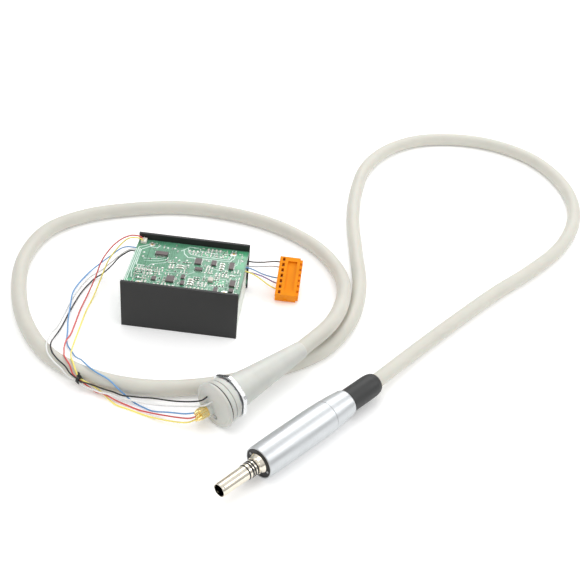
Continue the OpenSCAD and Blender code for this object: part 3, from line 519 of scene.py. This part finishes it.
# slot: maker, screen colour, roughness, other settings
COLOURED_MATERIALS = {
    "satin_silver": (turned_metal, (204, 207, 209), 0.36, {"tint": 0.03, "Metallic": 0.78}),
    # nickel: painted shade on everything within the bore radius of the motor's axis
    "nickel": (turned_metal, (236, 229, 214), 0.14, {"tint": 0.05, "bump": 0.02, "bore": 4.4 * MM}),
    "housing_aluminium": (turned_metal, (190, 192, 195), 0.35, {}),
    "washer_steel": (turned_metal, (190, 191, 192), 0.42, {}),
    "bearing_steel": (plated, (200, 200, 205), 0.12, {}),
    "magnet": (plated, (120, 120, 125), 0.35, {}),
    "gold": (plated, (252, 228, 164), 0.26, {}),
    "spring_steel": (plated, (186, 188, 190), 0.25, {}),
    "nut_chrome": (plated, (236, 237, 238), 0.27, {}),
    "pillar_brass": (plated, (206, 176, 104), 0.25, {}),
    "clamp_tin": (plated, (226, 226, 222), 0.3, {}),
    "black_rubber": (moulded, (42, 43, 43), 0.52, {"tint": 0.14, "grain": 2600, "bump": 0.2}),
    "black_plastic": (moulded, (28, 28, 30), 0.5, {}),
    "insulator": (moulded, (196, 188, 158), 0.5, {}),
    "gland_grey": (
        moulded, (203, 204, 198), 0.42,
        {"tint": 0.04, "grain": 1500, "Subsurface_Weight": 0.15, "Subsurface_Scale": 2 * MM},
    ),
    "tie_black": (moulded, (24, 24, 25), 0.45, {}),
    "chip_black": (moulded, (98, 88, 88), 0.42, {"tint": 0.14, "grain": 3000, "bump": 0.15}),
    "ceramic": (moulded, (206, 200, 190), 0.4, {"tint": 0.16, "grain": 2400, "bump": 0.08}),
    "capacitor_sleeve": (moulded, (38, 46, 84), 0.3, {}),
    "header_white": (moulded, (226, 224, 212), 0.42, {"tint": 0.04}),
    "plug_orange": (moulded, (239, 143, 4), 0.4, {"tint": 0.05, "grain": 1800, "Specular_IOR_Level": 0.15}),
    "hose_silicone": (
        cord_skin, (203, 201, 191), 0.5,
        {"tint": 0.04, "Subsurface_Weight": 0.12, "Subsurface_Scale": 2 * MM},
    ),
    "wire_black": (cord_skin, (26, 26, 28), 0.32, {"tint": 0.15}),
    "wire_white": (cord_skin, (232, 232, 230), 0.36, {"tint": 0.03}),
    "wire_red": (cord_skin, (214, 84, 84), 0.36, {"tint": 0.08}),
    "wire_yellow": (cord_skin, (247, 232, 118), 0.36, {"tint": 0.04}),
    "wire_blue": (cord_skin, (104, 156, 208), 0.36, {"tint": 0.08}),
    "wire_grey": (cord_skin, (186, 187, 190), 0.36, {"tint": 0.06}),
    "wire_violet": (cord_skin, (140, 118, 176), 0.36, {"tint": 0.08}),
}
materials = {slot: make(slot) for slot, make in OWN_MATERIALS.items()}
for slot, (make, colour, rough, settings) in COLOURED_MATERIALS.items():
    materials[slot] = make(slot, srgb(*colour), rough, **settings)
node_slots = {p["node"]: p["material_slot"] for p in frame["record"]["subparts"]}
for node, obj in frame["nodes"].items():
    obj.data.materials.clear()
    obj.data.materials.append(materials[node_slots[node]])
for name, piece in cords.items():
    piece.data.materials.append(materials[node_slots[name]])

# ---- CAD nodes with flat faces get small rounded edges ----


def round_edges(node, width):
    obj = frame["nodes"][node]
    weld = obj.modifiers.new("weld", "WELD")
    weld.merge_threshold = 0.002 * MM
    bevel = obj.modifiers.new("bevel", "BEVEL")
    bevel.width = width
    bevel.segments = 2
    bevel.limit_method = "ANGLE"
    bevel.angle_limit = math.radians(30)
    bevel.use_clamp_overlap = True
    normals = obj.modifiers.new("normals", "WEIGHTED_NORMAL")
    normals.keep_sharp = False


for node, width in (
    ("channel_housing", 0.35),
    ("plug_housing", 0.22),
    ("plug_clamps", 0.12),
    ("left_header", 0.3),
    ("right_header", 0.3),
    ("main_board", 0.1),
    ("power_board", 0.1),
    ("power_transistors", 0.25),
    ("cable_tie", 0.12),
    ("contact_cluster", 0.12),
):
    round_edges(node, width * MM)

# ---- helpers for the extra pieces, in the controller's millimetres ----


def at_box():
    """Controller millimetres to the frame's metres: x along the channel, y across it."""
    lo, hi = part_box("main_board")
    centre = (lo + hi) / 2
    place = Matrix.Translation((centre.x, centre.y, 0.0))
    return place @ Matrix.Rotation(BOX_TURN, 4, "Z") @ Matrix.Scale(MM, 4)


ON_BOX = at_box()
BOARD_TOP = 36.6
PILLAR_X, PILLAR_Y = 33, 26
COPPER_LOW, COPPER_HIGH = BOARD_TOP - 0.02, BOARD_TOP + 0.07


class Solid:
    """Collects shapes in millimetres and turns them into one piece."""

    def __init__(self, name, place=ON_BOX):
        self.name = name
        self.place = place
        self.bm = bmesh.new()

    def block(self, lo, hi, bevel, turn=0.0, segments=1):
        """A box with rounded edges between two corners, turned about its own centre."""
        lo, hi = Vector(lo), Vector(hi)
        made = bmesh.ops.create_cube(self.bm, size=1.0)["verts"]
        middle = Matrix.Translation((lo + hi) / 2)
        shape = middle @ Matrix.Rotation(turn, 4, "Z") @ Matrix.Diagonal((*(hi - lo), 1.0))
        bmesh.ops.transform(self.bm, matrix=shape, verts=made)
        edges = list({e for v in made for e in v.link_edges})
        bmesh.ops.bevel(
            self.bm, geom=edges, offset=bevel, segments=segments,
            affect="EDGES", profile=0.6, clamp_overlap=True,
        )

    def pad(self, x, y, half_x, half_y, low, high, bevel):
        """A block centred on a spot of the top board, between two heights above it."""
        lo = (x - half_x, y - half_y, BOARD_TOP + low)
        hi = (x + half_x, y + half_y, BOARD_TOP + high)
        self.block(lo, hi, bevel)

    def lathe(self, profile, centre, sides, axis="Z"):
        """A turned shape from (radius, height) pairs. A radius of 0 closes that end."""
        rings = []
        for radius, height in profile:
            ring = []
            for k in range(sides if radius > 0 else 1):
                t = 2 * math.pi * k / sides
                p = Vector((radius * math.cos(t), radius * math.sin(t), height))
                if axis == "Y":
                    p = Vector((p.x, -p.z, p.y))
                ring.append(self.bm.verts.new(p + Vector(centre)))
            rings.append(ring)
        for a, b in zip(rings, rings[1:]):
            for k in range(sides):
                quad = [a[k % len(a)], a[(k + 1) % len(a)], b[(k + 1) % len(b)], b[k % len(b)]]
                self.bm.faces.new(list(dict.fromkeys(quad)))

    def skin(self, rings):
        """Faces from ring to ring, each of four points, and over both ends."""
        for a, b in zip(rings, rings[1:]):
            for k in range(4):
                self.bm.faces.new([a[k], a[(k + 1) % 4], b[(k + 1) % 4], b[k]])
        self.bm.faces.new(rings[0][::-1])
        self.bm.faces.new(rings[-1])

    def ribbon(self, points, width, low=COPPER_LOW, high=COPPER_HIGH):
        """A flat strip along a line of (x, y) points, a little narrower on top."""
        pts = [Vector((*p, 0.0)) for p in points]
        rings = []
        for i, p in enumerate(pts):
            before = (p - pts[i - 1]).normalized() if i else None
            after = (pts[i + 1] - p).normalized() if i + 1 < len(pts) else None
            along = ((before or after) + (after or before)).normalized()
            side = Vector((-along.y, along.x, 0.0))
            lean = abs(along.dot(after or before))
            side *= width / 2 / max(lean, 0.5)
            rings.append([
                self.bm.verts.new(p + side + Vector((0, 0, low))),
                self.bm.verts.new(p - side + Vector((0, 0, low))),
                self.bm.verts.new(p - side * 0.86 + Vector((0, 0, high))),
                self.bm.verts.new(p + side * 0.86 + Vector((0, 0, high))),
            ])
        self.skin(rings)

    def finish(self, slot, replaces=(), paint=None):
        """Makes the piece, on the body that stays put, with the slot's material or its own paint."""
        bmesh.ops.recalc_face_normals(self.bm, faces=self.bm.faces)
        data = bpy.data.meshes.new(self.name)
        self.bm.to_mesh(data)
        self.bm.free()
        data.transform(self.place)
        for polygon in data.polygons:
            polygon.use_smooth = True
        data.set_sharp_from_angle(angle=math.radians(35))
        data.materials.append(paint or materials[slot])
        piece = bpy.data.objects.new(self.name, data)
        bpy.context.scene.collection.objects.link(piece)
        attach(piece, "set")
        if replaces:
            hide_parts(*replaces)


# ---- the controller's board: chips, small parts, tracks, solder ----

# chips: x, y, width, depth, height, legs on each long side
CHIPS = [
    (-22.8, 13.5, 10, 5.6, 2, 8),
    (7.2, 9.3, 6, 7.6, 1.6, 6),
    (9, -0.5, 6, 4.6, 1.4, 5),
    (19.6, 9.5, 4.8, 6.4, 1.6, 5),
    (33.8, 8.2, 4.6, 9, 1.6, 7),
    (37.6, -14.5, 5, 7.6, 1.8, 5),
    (37.8, -23, 4.4, 4.6, 1.5, 3),
    (26, -24.6, 4, 6, 1.6, 4),
    (-22.5, -19.4, 4.4, 4.6, 1.5, 3),
    (-10, -18, 7, 7.6, 1.8, 5),
    (-1, -13, 3.8, 5, 1.4, 3),
    (-0.2, -20.6, 3.8, 5, 1.4, 3),
]
# rows of small parts: first x, first y, width, depth, height, count, step x, step y
SMALL_PARTS = [
    (-21, -26.4, 1.4, 2.8, 0.8, 6, 2.9, 0),
    (11.8, -18.1, 1.3, 2.8, 0.8, 3, 3, 0),
    (5.4, -14.6, 3.4, 1.6, 0.9, 3, 0, -3.2),
    (-13.4, -1, 1.3, 5, 0.8, 2, 2.4, 0),
    (-5.6, 1.6, 5.2, 1.2, 0.8, 2, 0, -3),
    (-38, -8.5, 2.4, 1.3, 0.7, 4, 3.4, 0),
    (-31, -13.5, 1.2, 2.6, 0.7, 3, 2.4, 0),
    (-30.5, -24, 1.4, 2.6, 0.8, 2, 2.6, 0),
    (12.4, 27.4, 1.5, 2.8, 0.8, 4, 3.2, 0),
    (-2, 22.6, 1.4, 2.4, 0.8, 3, 3.2, 0),
    (23.6, -4.8, 1.2, 3.6, 0.8, 4, 2.6, 0),
    (26.4, 10.6, 3, 1.5, 0.8, 3, 0, -3.2),
    (4, -25.6, 1.3, 2.6, 0.8, 5, 3, 0),
]
# zones crowded with the smallest parts: x from, x to, y from, y to, share of the places taken
CROWDED = [
    (-39, -17, -29, -4, 0.86),
    (-16, 14, -30, -10, 0.80),
    (-16, 2, -8, 8, 0.62),
    (14, 43, -30, 5, 0.66),
    (0, 31, 18, 29.5, 0.74),
    (12, 31, 4, 14, 0.55),
    (-36, -14, 5, 10.5, 0.45),
    (-38, -10, 19, 29.5, 0.30),
]
INDUCTOR_X, INDUCTOR_Y, INDUCTOR_HALF_X, INDUCTOR_HALF_Y = 20.5, -13.1, 2, 2.3
CHIP_LEG_REACH = 0.45
PILLAR_RING, VIA_KEEP = 2.6, 0.6
# the smallest parts stay inside these half sizes, and out of the corner with the left header
CROWD_EDGE_X, CROWD_EDGE_Y = 43.4, 30.6
LEFT_HEADER_TO_X, LEFT_HEADER_FROM_Y = -33, 16
CROWD_PITCH_X, CROWD_PITCH_Y, CROWD_JITTER, CROWD_REACH = 2.3, 2.5, 0.15, 0.95


def small_spots():
    """Each part of the rows, as (x, y, width, depth, height)."""
    for x, y, w, d, h, count, step_x, step_y in SMALL_PARTS:
        for k in range(count):
            yield x + k * step_x, y + k * step_y, w, d, h


def clear_of(x, y, reach):
    """Whether a spot keeps clear of everything else on the board and of its edges."""
    taken = [chip[:4] for chip in CHIPS] + [spot[:4] for spot in small_spots()]
    taken.append((INDUCTOR_X, INDUCTOR_Y, 2 * INDUCTOR_HALF_X, 2 * INDUCTOR_HALF_Y))
    if abs(x) > CROWD_EDGE_X or abs(y) > CROWD_EDGE_Y:
        return False
    if x < LEFT_HEADER_TO_X and y > LEFT_HEADER_FROM_Y:
        return False
    if any(abs(x - cx) < w / 2 + reach and abs(y - cy) < d / 2 + reach for cx, cy, w, d in taken):
        return False
    if math.hypot(abs(x) - PILLAR_X, abs(y) - PILLAR_Y) < PILLAR_RING + reach:
        return False
    return all(math.hypot(x - vx, y - vy) > VIA_KEEP + reach for vx, vy in VIAS)


def crowd():
    """Spots for the smallest parts and print marks: (x, y, along x?, kind)."""
    dice = random.Random(5)
    spots = []
    for x1, x2, y1, y2, share in CROWDED:
        rows = round((y2 - y1) / CROWD_PITCH_Y)
        columns = round((x2 - x1) / CROWD_PITCH_X)
        for i in range(rows):
            wide = dice.random() < 0.5
            for k in range(columns):
                if k % 4 == 0:
                    wide = dice.random() < 0.5
                x = x1 + (k + 0.5) * (x2 - x1) / columns + dice.uniform(-CROWD_JITTER, CROWD_JITTER)
                y = y1 + (i + 0.5) * (y2 - y1) / rows + dice.uniform(-CROWD_JITTER, CROWD_JITTER)
                kind = dice.random()
                if dice.random() < share and clear_of(x, y, CROWD_REACH):
                    spots.append((x, y, wide, kind))
    return spots


def chip_body(bodies, x, y, half_w, half_d, h, mark):
    """A body that narrows above and below its parting line, with a round mark sunk by pin 1."""
    top = BOARD_TOP + h
    rings = []
    for z, inset in ((BOARD_TOP + 0.12, 0.14), (BOARD_TOP + h * 0.5, 0.0), (top - 0.06, 0.12), (top, 0.2)):
        rings.append([
            bodies.bm.verts.new((x + sx * (half_w - inset), y + sy * (half_d - inset), z))
            for sx, sy in ((-1, -1), (1, -1), (1, 1), (-1, 1))
        ])
    bodies.skin(rings)
    bodies.lathe(
        [(mark, 0.0), (mark, 0.02), (mark * 0.8, 0.02), (mark * 0.6, 0.005), (0, 0.005)],
        (x - half_w + 3 * mark, y - half_d + 3 * mark, top - 0.004), 14,
    )


# a chip's leg, from its body outwards: how far out, and how high as a share of the chip
LEG_BENDS = ((0.0, 0.55), (0.32, 0.5), (0.42, 0.1), (0.75, 0.06))
LEG_HALF_WIDTH, LEG_HALF_THICK = 0.2, 0.07
BOX_FACES = ((0, 1, 3, 2), (4, 6, 7, 5), (0, 4, 5, 1), (2, 3, 7, 6), (0, 2, 6, 4), (1, 5, 7, 3))


def chip_leg(legs, x, y, h, along, out, side, wide):
    """One bent leg, as a short box from each bend to the next."""
    for bends in zip(LEG_BENDS, LEG_BENDS[1:]):
        corners = []
        for reach, rise in bends:
            across = side * (out + reach)
            px, py = (along, across) if wide else (across, along)
            for s in (-LEG_HALF_WIDTH, LEG_HALF_WIDTH):
                sx, sy = (s, 0) if wide else (0, s)
                for dz in (-LEG_HALF_THICK, LEG_HALF_THICK):
                    z = BOARD_TOP + rise * h * 0.9 + dz + 0.02
                    corners.append(legs.bm.verts.new((x + px + sx, y + py + sy, z)))
        for face in BOX_FACES:
            legs.bm.faces.new([corners[i] for i in face])


def board_chips():
    bodies = Solid("board_chip_bodies")
    legs = Solid("board_chip_legs")
    for x, y, w, d, h, count in CHIPS:
        wide = w > d
        half_w = w / 2 - (0 if wide else CHIP_LEG_REACH)
        half_d = d / 2 - (CHIP_LEG_REACH if wide else 0)
        chip_body(bodies, x, y, half_w, half_d, h, min(0.45, min(w, d) * 0.09))
        run = max(w, d) - 1.0
        for k in range(count):
            along = -run / 2 + run * (k + 0.5) / count
            for side in (-1, 1):
                chip_leg(legs, x, y, h, along, min(w, d) / 2 - CHIP_LEG_REACH - 0.1, side, wide)
    bodies.finish("chip_black", replaces=["board_chips"])
    legs.finish("clamp_tin")


def small_parts():
    """The rows of small parts, each a body between two tinned ends, and the one square inductor."""
    bodies = Solid("board_small_bodies")
    caps = Solid("board_small_caps")
    bodies.block(
        (INDUCTOR_X - INDUCTOR_HALF_X, INDUCTOR_Y - INDUCTOR_HALF_Y, BOARD_TOP),
        (INDUCTOR_X + INDUCTOR_HALF_X, INDUCTOR_Y + INDUCTOR_HALF_Y, BOARD_TOP + 2.2), 0.3, segments=2,
    )
    for x, y, w, d, h in small_spots():
        wide = w > d
        cap = 0.24 * max(w, d)
        inset_x, inset_y = (cap, 0.04) if wide else (0.04, cap)
        bodies.pad(x, y, w / 2 - inset_x, d / 2 - inset_y, 0, h - 0.04, 0.06)
        for s in (-1, 1):
            if wide:
                caps.pad(x + s * (w - cap) / 2, y, cap / 2, d / 2, 0, h, 0.09)
            else:
                caps.pad(x, y + s * (d - cap) / 2, w / 2, cap / 2, 0, h, 0.09)
    bodies.finish("ceramic", replaces=["board_passives"])
    caps.finish("clamp_tin")


CROWD_LONG, CROWD_SHORT, CROWD_HIGH, CROWD_END = 0.85, 0.42, 0.5, 0.26
PRINT_LINE, STROKE_HALF, STROKE_OFF = 0.34, 0.8, 0.45
# a spot's kind, from 0 to 1: dark bodies first, then pale ones, then print
DARK_KIND, PRINT_KIND = 0.3, 0.72


def crowded_parts():
    """The smallest parts: pale or dark bodies between two tinned ends, or just a pair of print strokes."""
    pale = Solid("board_crowd_pale")
    dark = Solid("board_crowd_dark")
    tin = Solid("board_crowd_ends")
    marks = Solid("board_crowd_print")
    for x, y, wide, kind in crowd():
        for s in (-1, 1):
            if kind > PRINT_KIND and wide:
                off = y + s * STROKE_OFF
                marks.ribbon([(x - STROKE_HALF, off), (x + STROKE_HALF, off)], PRINT_LINE)
            elif kind > PRINT_KIND:
                off = x + s * STROKE_OFF
                marks.ribbon([(off, y - STROKE_HALF), (off, y + STROKE_HALF)], PRINT_LINE)
            elif wide:
                at = x + s * (CROWD_LONG - 0.05)
                tin.pad(at, y, CROWD_END, CROWD_SHORT + 0.05, -0.02, CROWD_HIGH, 0.08)
            else:
                at = y + s * (CROWD_LONG - 0.05)
                tin.pad(x, at, CROWD_SHORT + 0.05, CROWD_END, -0.02, CROWD_HIGH, 0.08)
        if kind <= PRINT_KIND:
            half_x, half_y = CROWD_LONG - 0.25, CROWD_SHORT
            if not wide:
                half_x, half_y = half_y, half_x
            (dark if kind < DARK_KIND else pale).pad(x, y, half_x, half_y, 0, CROWD_HIGH - 0.03, 0.05)
    pale.finish("ceramic")
    dark.finish("chip_black")
    tin.finish("clamp_tin")
    marks.finish("header_white", paint=track_paint("board_print_paint"))


TRACK_WIDE, TRACK_FINE, WIDE_COUNT = 0.85, 0.5, 9
# tracks as lines of (x, y) points, the WIDE_COUNT wide ones first
TRACKS = [
    [(-44, 18.5), (-44, -24), (-41, -30)],
    [(-42.6, 20.2), (-42.6, -23), (-39.6, -29)],
    [(-41.2, 18.6), (-41.2, -12), (-39.8, -20)],
    [(-40.1, 17.9), (-39.8, -2.9), (-33, -3.4)],
    [(-42.8, 20.6), (-34.9, 25.5), (-33, 29)],
    [(-39.7, 18), (-34.3, 22.8), (-28.4, 21.9), (-26, 26)],
    [(-6.9, 23.7), (-5.5, 18.3), (-1.9, 14.1), (7.7, 14.6), (31.5, 15), (34.1, 19.7), (34.1, 25.3),
     (34.3, 31)],
    [(-3.9, 27.2), (-2.9, 21.7), (-0.4, 18.7), (7.1, 17.4), (30.4, 17.5), (31.7, 22), (31.5, 30.5)],
    [(-9, 21.8), (-6.1, 24.6), (-3, 28.8), (5.3, 27.7), (6.7, 24.4), (19, 23.5), (20.1, 25)],
    [(-38.9, -6.4), (-31.2, -6.3), (-28.5, -0.5), (-19, 3), (-14, 8)],
    [(32.6, -2.6), (41.9, -1.9), (41.2, 3.3)],
    [(-35, 3), (-24, 4.5), (-16, 9)],
    [(-36, 6), (-25, 7.5), (-20, 10)],
    [(15, 4), (22, 2.5), (30, 3), (38, 12), (38, 20)],
    [(-30, -17), (-26, -10), (-16, -9), (-7, -8), (2, -8), (7, -4)],
    [(13, -9), (24, -9.6), (32, -9), (34, -12)],
    [(-17, -30), (-10, -29.4), (2, -29.6), (14, -29.2), (20, -22)],
    [(11, -22), (19, -20), (30, -19.6), (35, -18)],
]
VIAS = [
    (-33.5, 28.7), (-33.6, 24.4), (-19.9, 23.7), (-14.3, 24.2), (-19, -3.4), (-19.8, -12.2),
    (-26.8, -0.9), (-37.3, 14.3), (-36.9, 8.8), (-25.6, -12.6), (-34.8, -18.5), (-34.2, -28.9),
    (14.2, -3), (30, -12), (28.6, -16.5), (40, 24), (41, 18), (38, 27), (27, 22), (23, 20),
    (12, 20.5), (-8, 9), (-11, 12), (0, 4), (14.8, 12.6), (-2, 10),
]
# plain copper areas, from corner to corner
POUR_ISLANDS = [
    ((24.4, -18.4), (31.6, -10.6)), ((36.2, 6.5), (43.4, 16)), ((35.8, 20.6), (43.6, 30.8)),
    ((-44.2, -30.8), (-36, -22)), ((-18.6, -7.6), (-14.6, -4.6)), ((24, 19.2), (30, 30.6)),
    ((8.6, 18.8), (15.4, 22.4)),
]
CHIP_PRINT_GAP, CHIP_PRINT_ARM, ROW_PRINT_GAP = 0.7, 1.3, 0.62
PRINT_EDGE_X, PRINT_EDGE_Y = 44, 31.3


def board_tracks():
    """The tracks, the printed corners around each chip and the printed sides of each small part."""
    tracks = Solid("board_tracks")
    for i, track in enumerate(TRACKS):
        tracks.ribbon(track, TRACK_WIDE if i < WIDE_COUNT else TRACK_FINE)
    for x, y, w, d, h, count in CHIPS:
        for sx, sy in ((-1, -1), (1, -1), (1, 1), (-1, 1)):
            cx, cy = x + sx * (w / 2 + CHIP_PRINT_GAP), y + sy * (d / 2 + CHIP_PRINT_GAP)
            arm = [(cx - sx * CHIP_PRINT_ARM, cy), (cx, cy), (cx, cy - sy * CHIP_PRINT_ARM)]
            if all(abs(px) < PRINT_EDGE_X and abs(py) < PRINT_EDGE_Y for px, py in arm):
                tracks.ribbon(arm, PRINT_LINE)
    for x, y, w, d, h in small_spots():
        half_w, half_d = w / 2 + ROW_PRINT_GAP, d / 2 + ROW_PRINT_GAP
        for s in (-1, 1):
            side = [(x + s * half_w, y - half_d * 0.5), (x + s * half_w, y + half_d * 0.5)]
            if w > d:
                side = [(x - half_w * 0.5, y + s * half_d), (x + half_w * 0.5, y + s * half_d)]
            tracks.ribbon(side, PRINT_LINE)
    tracks.finish("header_white", paint=track_paint("board_track_paint"))


def board_areas():
    copper = Solid("board_copper_areas")
    for (x1, y1), (x2, y2) in POUR_ISLANDS:
        copper.block((x1, y1, COPPER_LOW), (x2, y2, COPPER_HIGH - 0.02), 0.03)
    copper.finish("board_green", paint=island_paint("board_area_paint"))


EDGE_ROW_X, EDGE_ROW_Y = (-21, -17.9, -15, -12.1, -9.2, -6.6), -28.75


def board_solder():
    """Solder domes on the vias, pads under the small parts and the edge row, rings round the pillars."""
    solder = Solid("board_solder")
    dome = [(0.95, -0.02), (0.9, 0.06), (0.62, 0.16), (0.34, 0.34), (0, 0.42)]
    ring = [(1.02, 0.0), (PILLAR_RING, 0.0), (PILLAR_RING, 0.08), (1.02, 0.08), (1.02, 0.0)]
    for x, y in VIAS:
        solder.lathe(dome, (x, y, BOARD_TOP), 18)
    for x, y, w, d, h in small_spots():
        for s in (-1, 1):
            if w > d:
                solder.pad(x + s * (w / 2 + 0.12), y, 0.45, d / 2 + 0.1, -0.02, 0.16, 0.08)
            else:
                solder.pad(x, y + s * (d / 2 + 0.12), w / 2 + 0.1, 0.45, -0.02, 0.16, 0.08)
    for x in EDGE_ROW_X:
        solder.pad(x, EDGE_ROW_Y, 0.5, 0.45, -0.02, 0.2, 0.09)
    for x in (-PILLAR_X, PILLAR_X):
        for y in (-PILLAR_Y, PILLAR_Y):
            solder.lathe(ring, (x, y, BOARD_TOP), 28)
    solder.finish("clamp_tin")


LEFT_PIN_X, LEFT_PIN_Y, LEFT_PIN_STEP, LEFT_PIN_UP = -40.2, 26.4, 0.9, 2.38
RIGHT_PIN_X, RIGHT_PIN_Y, RIGHT_PIN_STEP = 39.8, 14, 2.5


def header_pins():
    """Pin tops in the left header, and the solder spikes of the right one."""
    pins = Solid("header_pins")
    pin = [(0, 0.0), (0.32, 0.0), (0.32, 1.0), (0.22, 1.15), (0, 1.15)]
    spike = [(0.62, 0.0), (0.6, 0.1), (0.34, 0.3), (0.2, 0.8), (0, 0.86)]
    for k in range(5):
        pins.lathe(pin, (LEFT_PIN_X, LEFT_PIN_Y + LEFT_PIN_STEP * k, BOARD_TOP + LEFT_PIN_UP), 10)
    for k in range(6):
        pins.lathe(spike, (RIGHT_PIN_X, RIGHT_PIN_Y + RIGHT_PIN_STEP * k, BOARD_TOP), 12)
    pins.finish("clamp_tin")


# ---- below the top board, and the gland's thread ----

LOWER_TOP = 9.6
CAPACITOR_X, CAPACITOR_Y, CAPACITOR_TOP = (-22, -8), -16, LOWER_TOP + 17.6
TRANSISTOR_X = [-23 + 13 * i for i in range(4)]
TAB_HALF_WIDTH, TAB_BACK_Y, TAB_FRONT_Y, TAB_LEG_STEP = 4.8, 26.5, 27.6, 2.5
JOINT_STEP_X, JOINT_STEP_Y = 4.6, 4.4


def transistor_tabs():
    """A cooling tab with its hole's rim, and three legs, on each power transistor."""
    tabs = Solid("power_transistor_tabs")
    rim = [(1.7, 0.0), (1.7, 0.35), (1.4, 0.5), (0.9, 0.5), (0.9, 0.0), (1.7, 0.0)]
    for x in TRANSISTOR_X:
        tabs.block(
            (x - TAB_HALF_WIDTH, TAB_BACK_Y, LOWER_TOP + 4),
            (x + TAB_HALF_WIDTH, TAB_FRONT_Y, LOWER_TOP + 18.5), 0.3, segments=2,
        )
        for step in (-TAB_LEG_STEP, 0, TAB_LEG_STEP):
            leg = x + step
            tabs.block((leg - 0.35, 26.6, LOWER_TOP - 0.1), (leg + 0.35, 27.2, LOWER_TOP + 4.2), 0.08)
        tabs.lathe(rim, (x, 27.55, LOWER_TOP + 16), 28, axis="Y")
    tabs.finish("clamp_tin")


def capacitor_rims():
    """The crimped rim of each capacitor, and the three crossed scores on its top."""
    rims = Solid("capacitor_rims")
    rim = [(4.3, 0.0), (4.6, 0.0), (4.95, -0.25), (4.7, 0.12), (4.3, 0.12), (4.3, 0.0)]
    for x in CAPACITOR_X:
        rims.lathe(rim, (x, CAPACITOR_Y, CAPACITOR_TOP - 0.6), 40)
        for turn in (0.0, math.pi / 3, -math.pi / 3):
            lo = (x - 3, CAPACITOR_Y - 0.12, CAPACITOR_TOP - 0.02)
            hi = (x + 3, CAPACITOR_Y + 0.12, CAPACITOR_TOP + 0.08)
            rims.block(lo, hi, 0.03, turn)
    rims.finish("clamp_tin")


def lower_board_solder():
    """Rows of solder domes on the lower board, left out round the power transistors."""
    joints = Solid("lower_board_solder")
    dome = [(0.85, -0.02), (0.7, 0.14), (0.3, 0.5), (0, 0.6)]
    dice = random.Random(9)
    for i in range(9):
        for k in range(13):
            x, y = 2 + i * JOINT_STEP_X + dice.uniform(-0.4, 0.4), -28 + k * JOINT_STEP_Y
            if y < 18 or x > 24:
                joints.lathe(dome, (x, y, LOWER_TOP), 12)
    joints.finish("clamp_tin")


THREAD_ROOT, THREAD_CREST, THREAD_PITCH = 12.86, 13.12, 1.5
THREAD_START, THREAD_TURNS, THREAD_STEPS = 9.1, 3.3, 48


def gland_thread():
    """The gland's thread, one helix of low ridges under the washer and nut, which fades in and out."""
    lo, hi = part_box("gland_gasket")
    nut_lo, nut_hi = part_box("lock_nut")
    start = (lo + hi) / 2
    along = ((nut_lo + nut_hi) / 2 - start).normalized()
    turned = along.to_track_quat("Z", "Y").to_matrix().to_4x4()
    thread = Solid("gland_thread", Matrix.Translation(start) @ turned @ Matrix.Scale(MM, 4))
    last = round(THREAD_STEPS * THREAD_TURNS)
    rings = []
    for i in range(last + 1):
        t = 2 * math.pi * i / THREAD_STEPS
        z = THREAD_START + THREAD_PITCH * i / THREAD_STEPS
        fade = min(1.0, i / THREAD_STEPS * 3, (last - i) / THREAD_STEPS * 3)
        ridge = THREAD_ROOT + (THREAD_CREST - THREAD_ROOT) * fade
        section = ((THREAD_ROOT - 0.2, -0.6), (ridge, -0.1), (ridge, 0.1), (THREAD_ROOT - 0.2, 0.6))
        rings.append([thread.bm.verts.new((r * math.cos(t), r * math.sin(t), z + dz)) for r, dz in section])
    thread.skin(rings)
    thread.finish("gland_grey")


board_chips()
small_parts()
crowded_parts()
transistor_tabs()
capacitor_rims()
lower_board_solder()
gland_thread()
board_tracks()
board_areas()
board_solder()
header_pins()

# ---- the floor and light ----

FLOOR_HALF = 30.0
FLOOR_GLOW = 0.15


def make_floor():
    """A pale table that gives off a little light itself, which softens the shadows."""
    data = bpy.data.meshes.new("floor")
    corners = [(x * FLOOR_HALF, y * FLOOR_HALF, 0) for x, y in ((-1, -1), (1, -1), (1, 1), (-1, 1))]
    data.from_pydata(corners, [], [(0, 1, 2, 3)])
    floor = bpy.data.objects.new("floor", data)
    bpy.context.scene.collection.objects.link(floor)
    paint = Paint("floor_paper", Roughness=0.9, Specular_IOR_Level=0.1, Emission_Strength=FLOOR_GLOW)
    paint.colour(paint.ramp(paint.noise(3, 2), [(0.3, srgb(249, 249, 249)), (0.7, srgb(251, 251, 251))]))
    data.materials.append(paint.mat)


def make_light(name, at, aim, size, power):
    data = bpy.data.lights.new(name, "AREA")
    data.shape = "RECTANGLE"
    data.size, data.size_y = size
    data.energy = power
    lamp = bpy.data.objects.new(name, data)
    bpy.context.scene.collection.objects.link(lamp)
    lamp.location = at
    lamp.rotation_euler = (Vector(aim) - Vector(at)).to_track_quat("-Z", "Y").to_euler()


def make_world(horizon, zenith):
    """An even studio sky: dim walls, a brighter ceiling."""
    world = bpy.data.worlds.new("studio")
    bpy.context.scene.world = world
    world.use_nodes = True
    tree = world.node_tree
    place = tree.nodes.new("ShaderNodeTexCoord")
    split = tree.nodes.new("ShaderNodeSeparateXYZ")
    ramp = tree.nodes.new("ShaderNodeValToRGB")
    tree.links.new(place.outputs["Generated"], split.inputs[0])
    tree.links.new(split.outputs["Z"], ramp.inputs["Fac"])
    tree.links.new(ramp.outputs["Color"], tree.nodes["Background"].inputs["Color"])
    low, high = ramp.color_ramp.elements
    low.position, low.color = 0.12, (horizon, horizon, horizon, 1.0)
    high.position, high.color = 0.55, (zenith, zenith, zenith, 1.0)


make_floor()
make_world(0.42, 0.85)
make_light("back_box", (1.1, 0.64, 1.12), (0.05, -0.05, 0), (0.9, 0.9), 7.5)
make_light("front_box", (1.05, -0.95, 1.0), (0.05, -0.1, 0), (0.8, 0.8), 5.5)
make_light("overhead", (-0.3, 0.1, 1.8), (0.05, 0.05, 0), (1.2, 1.2), 7.5)
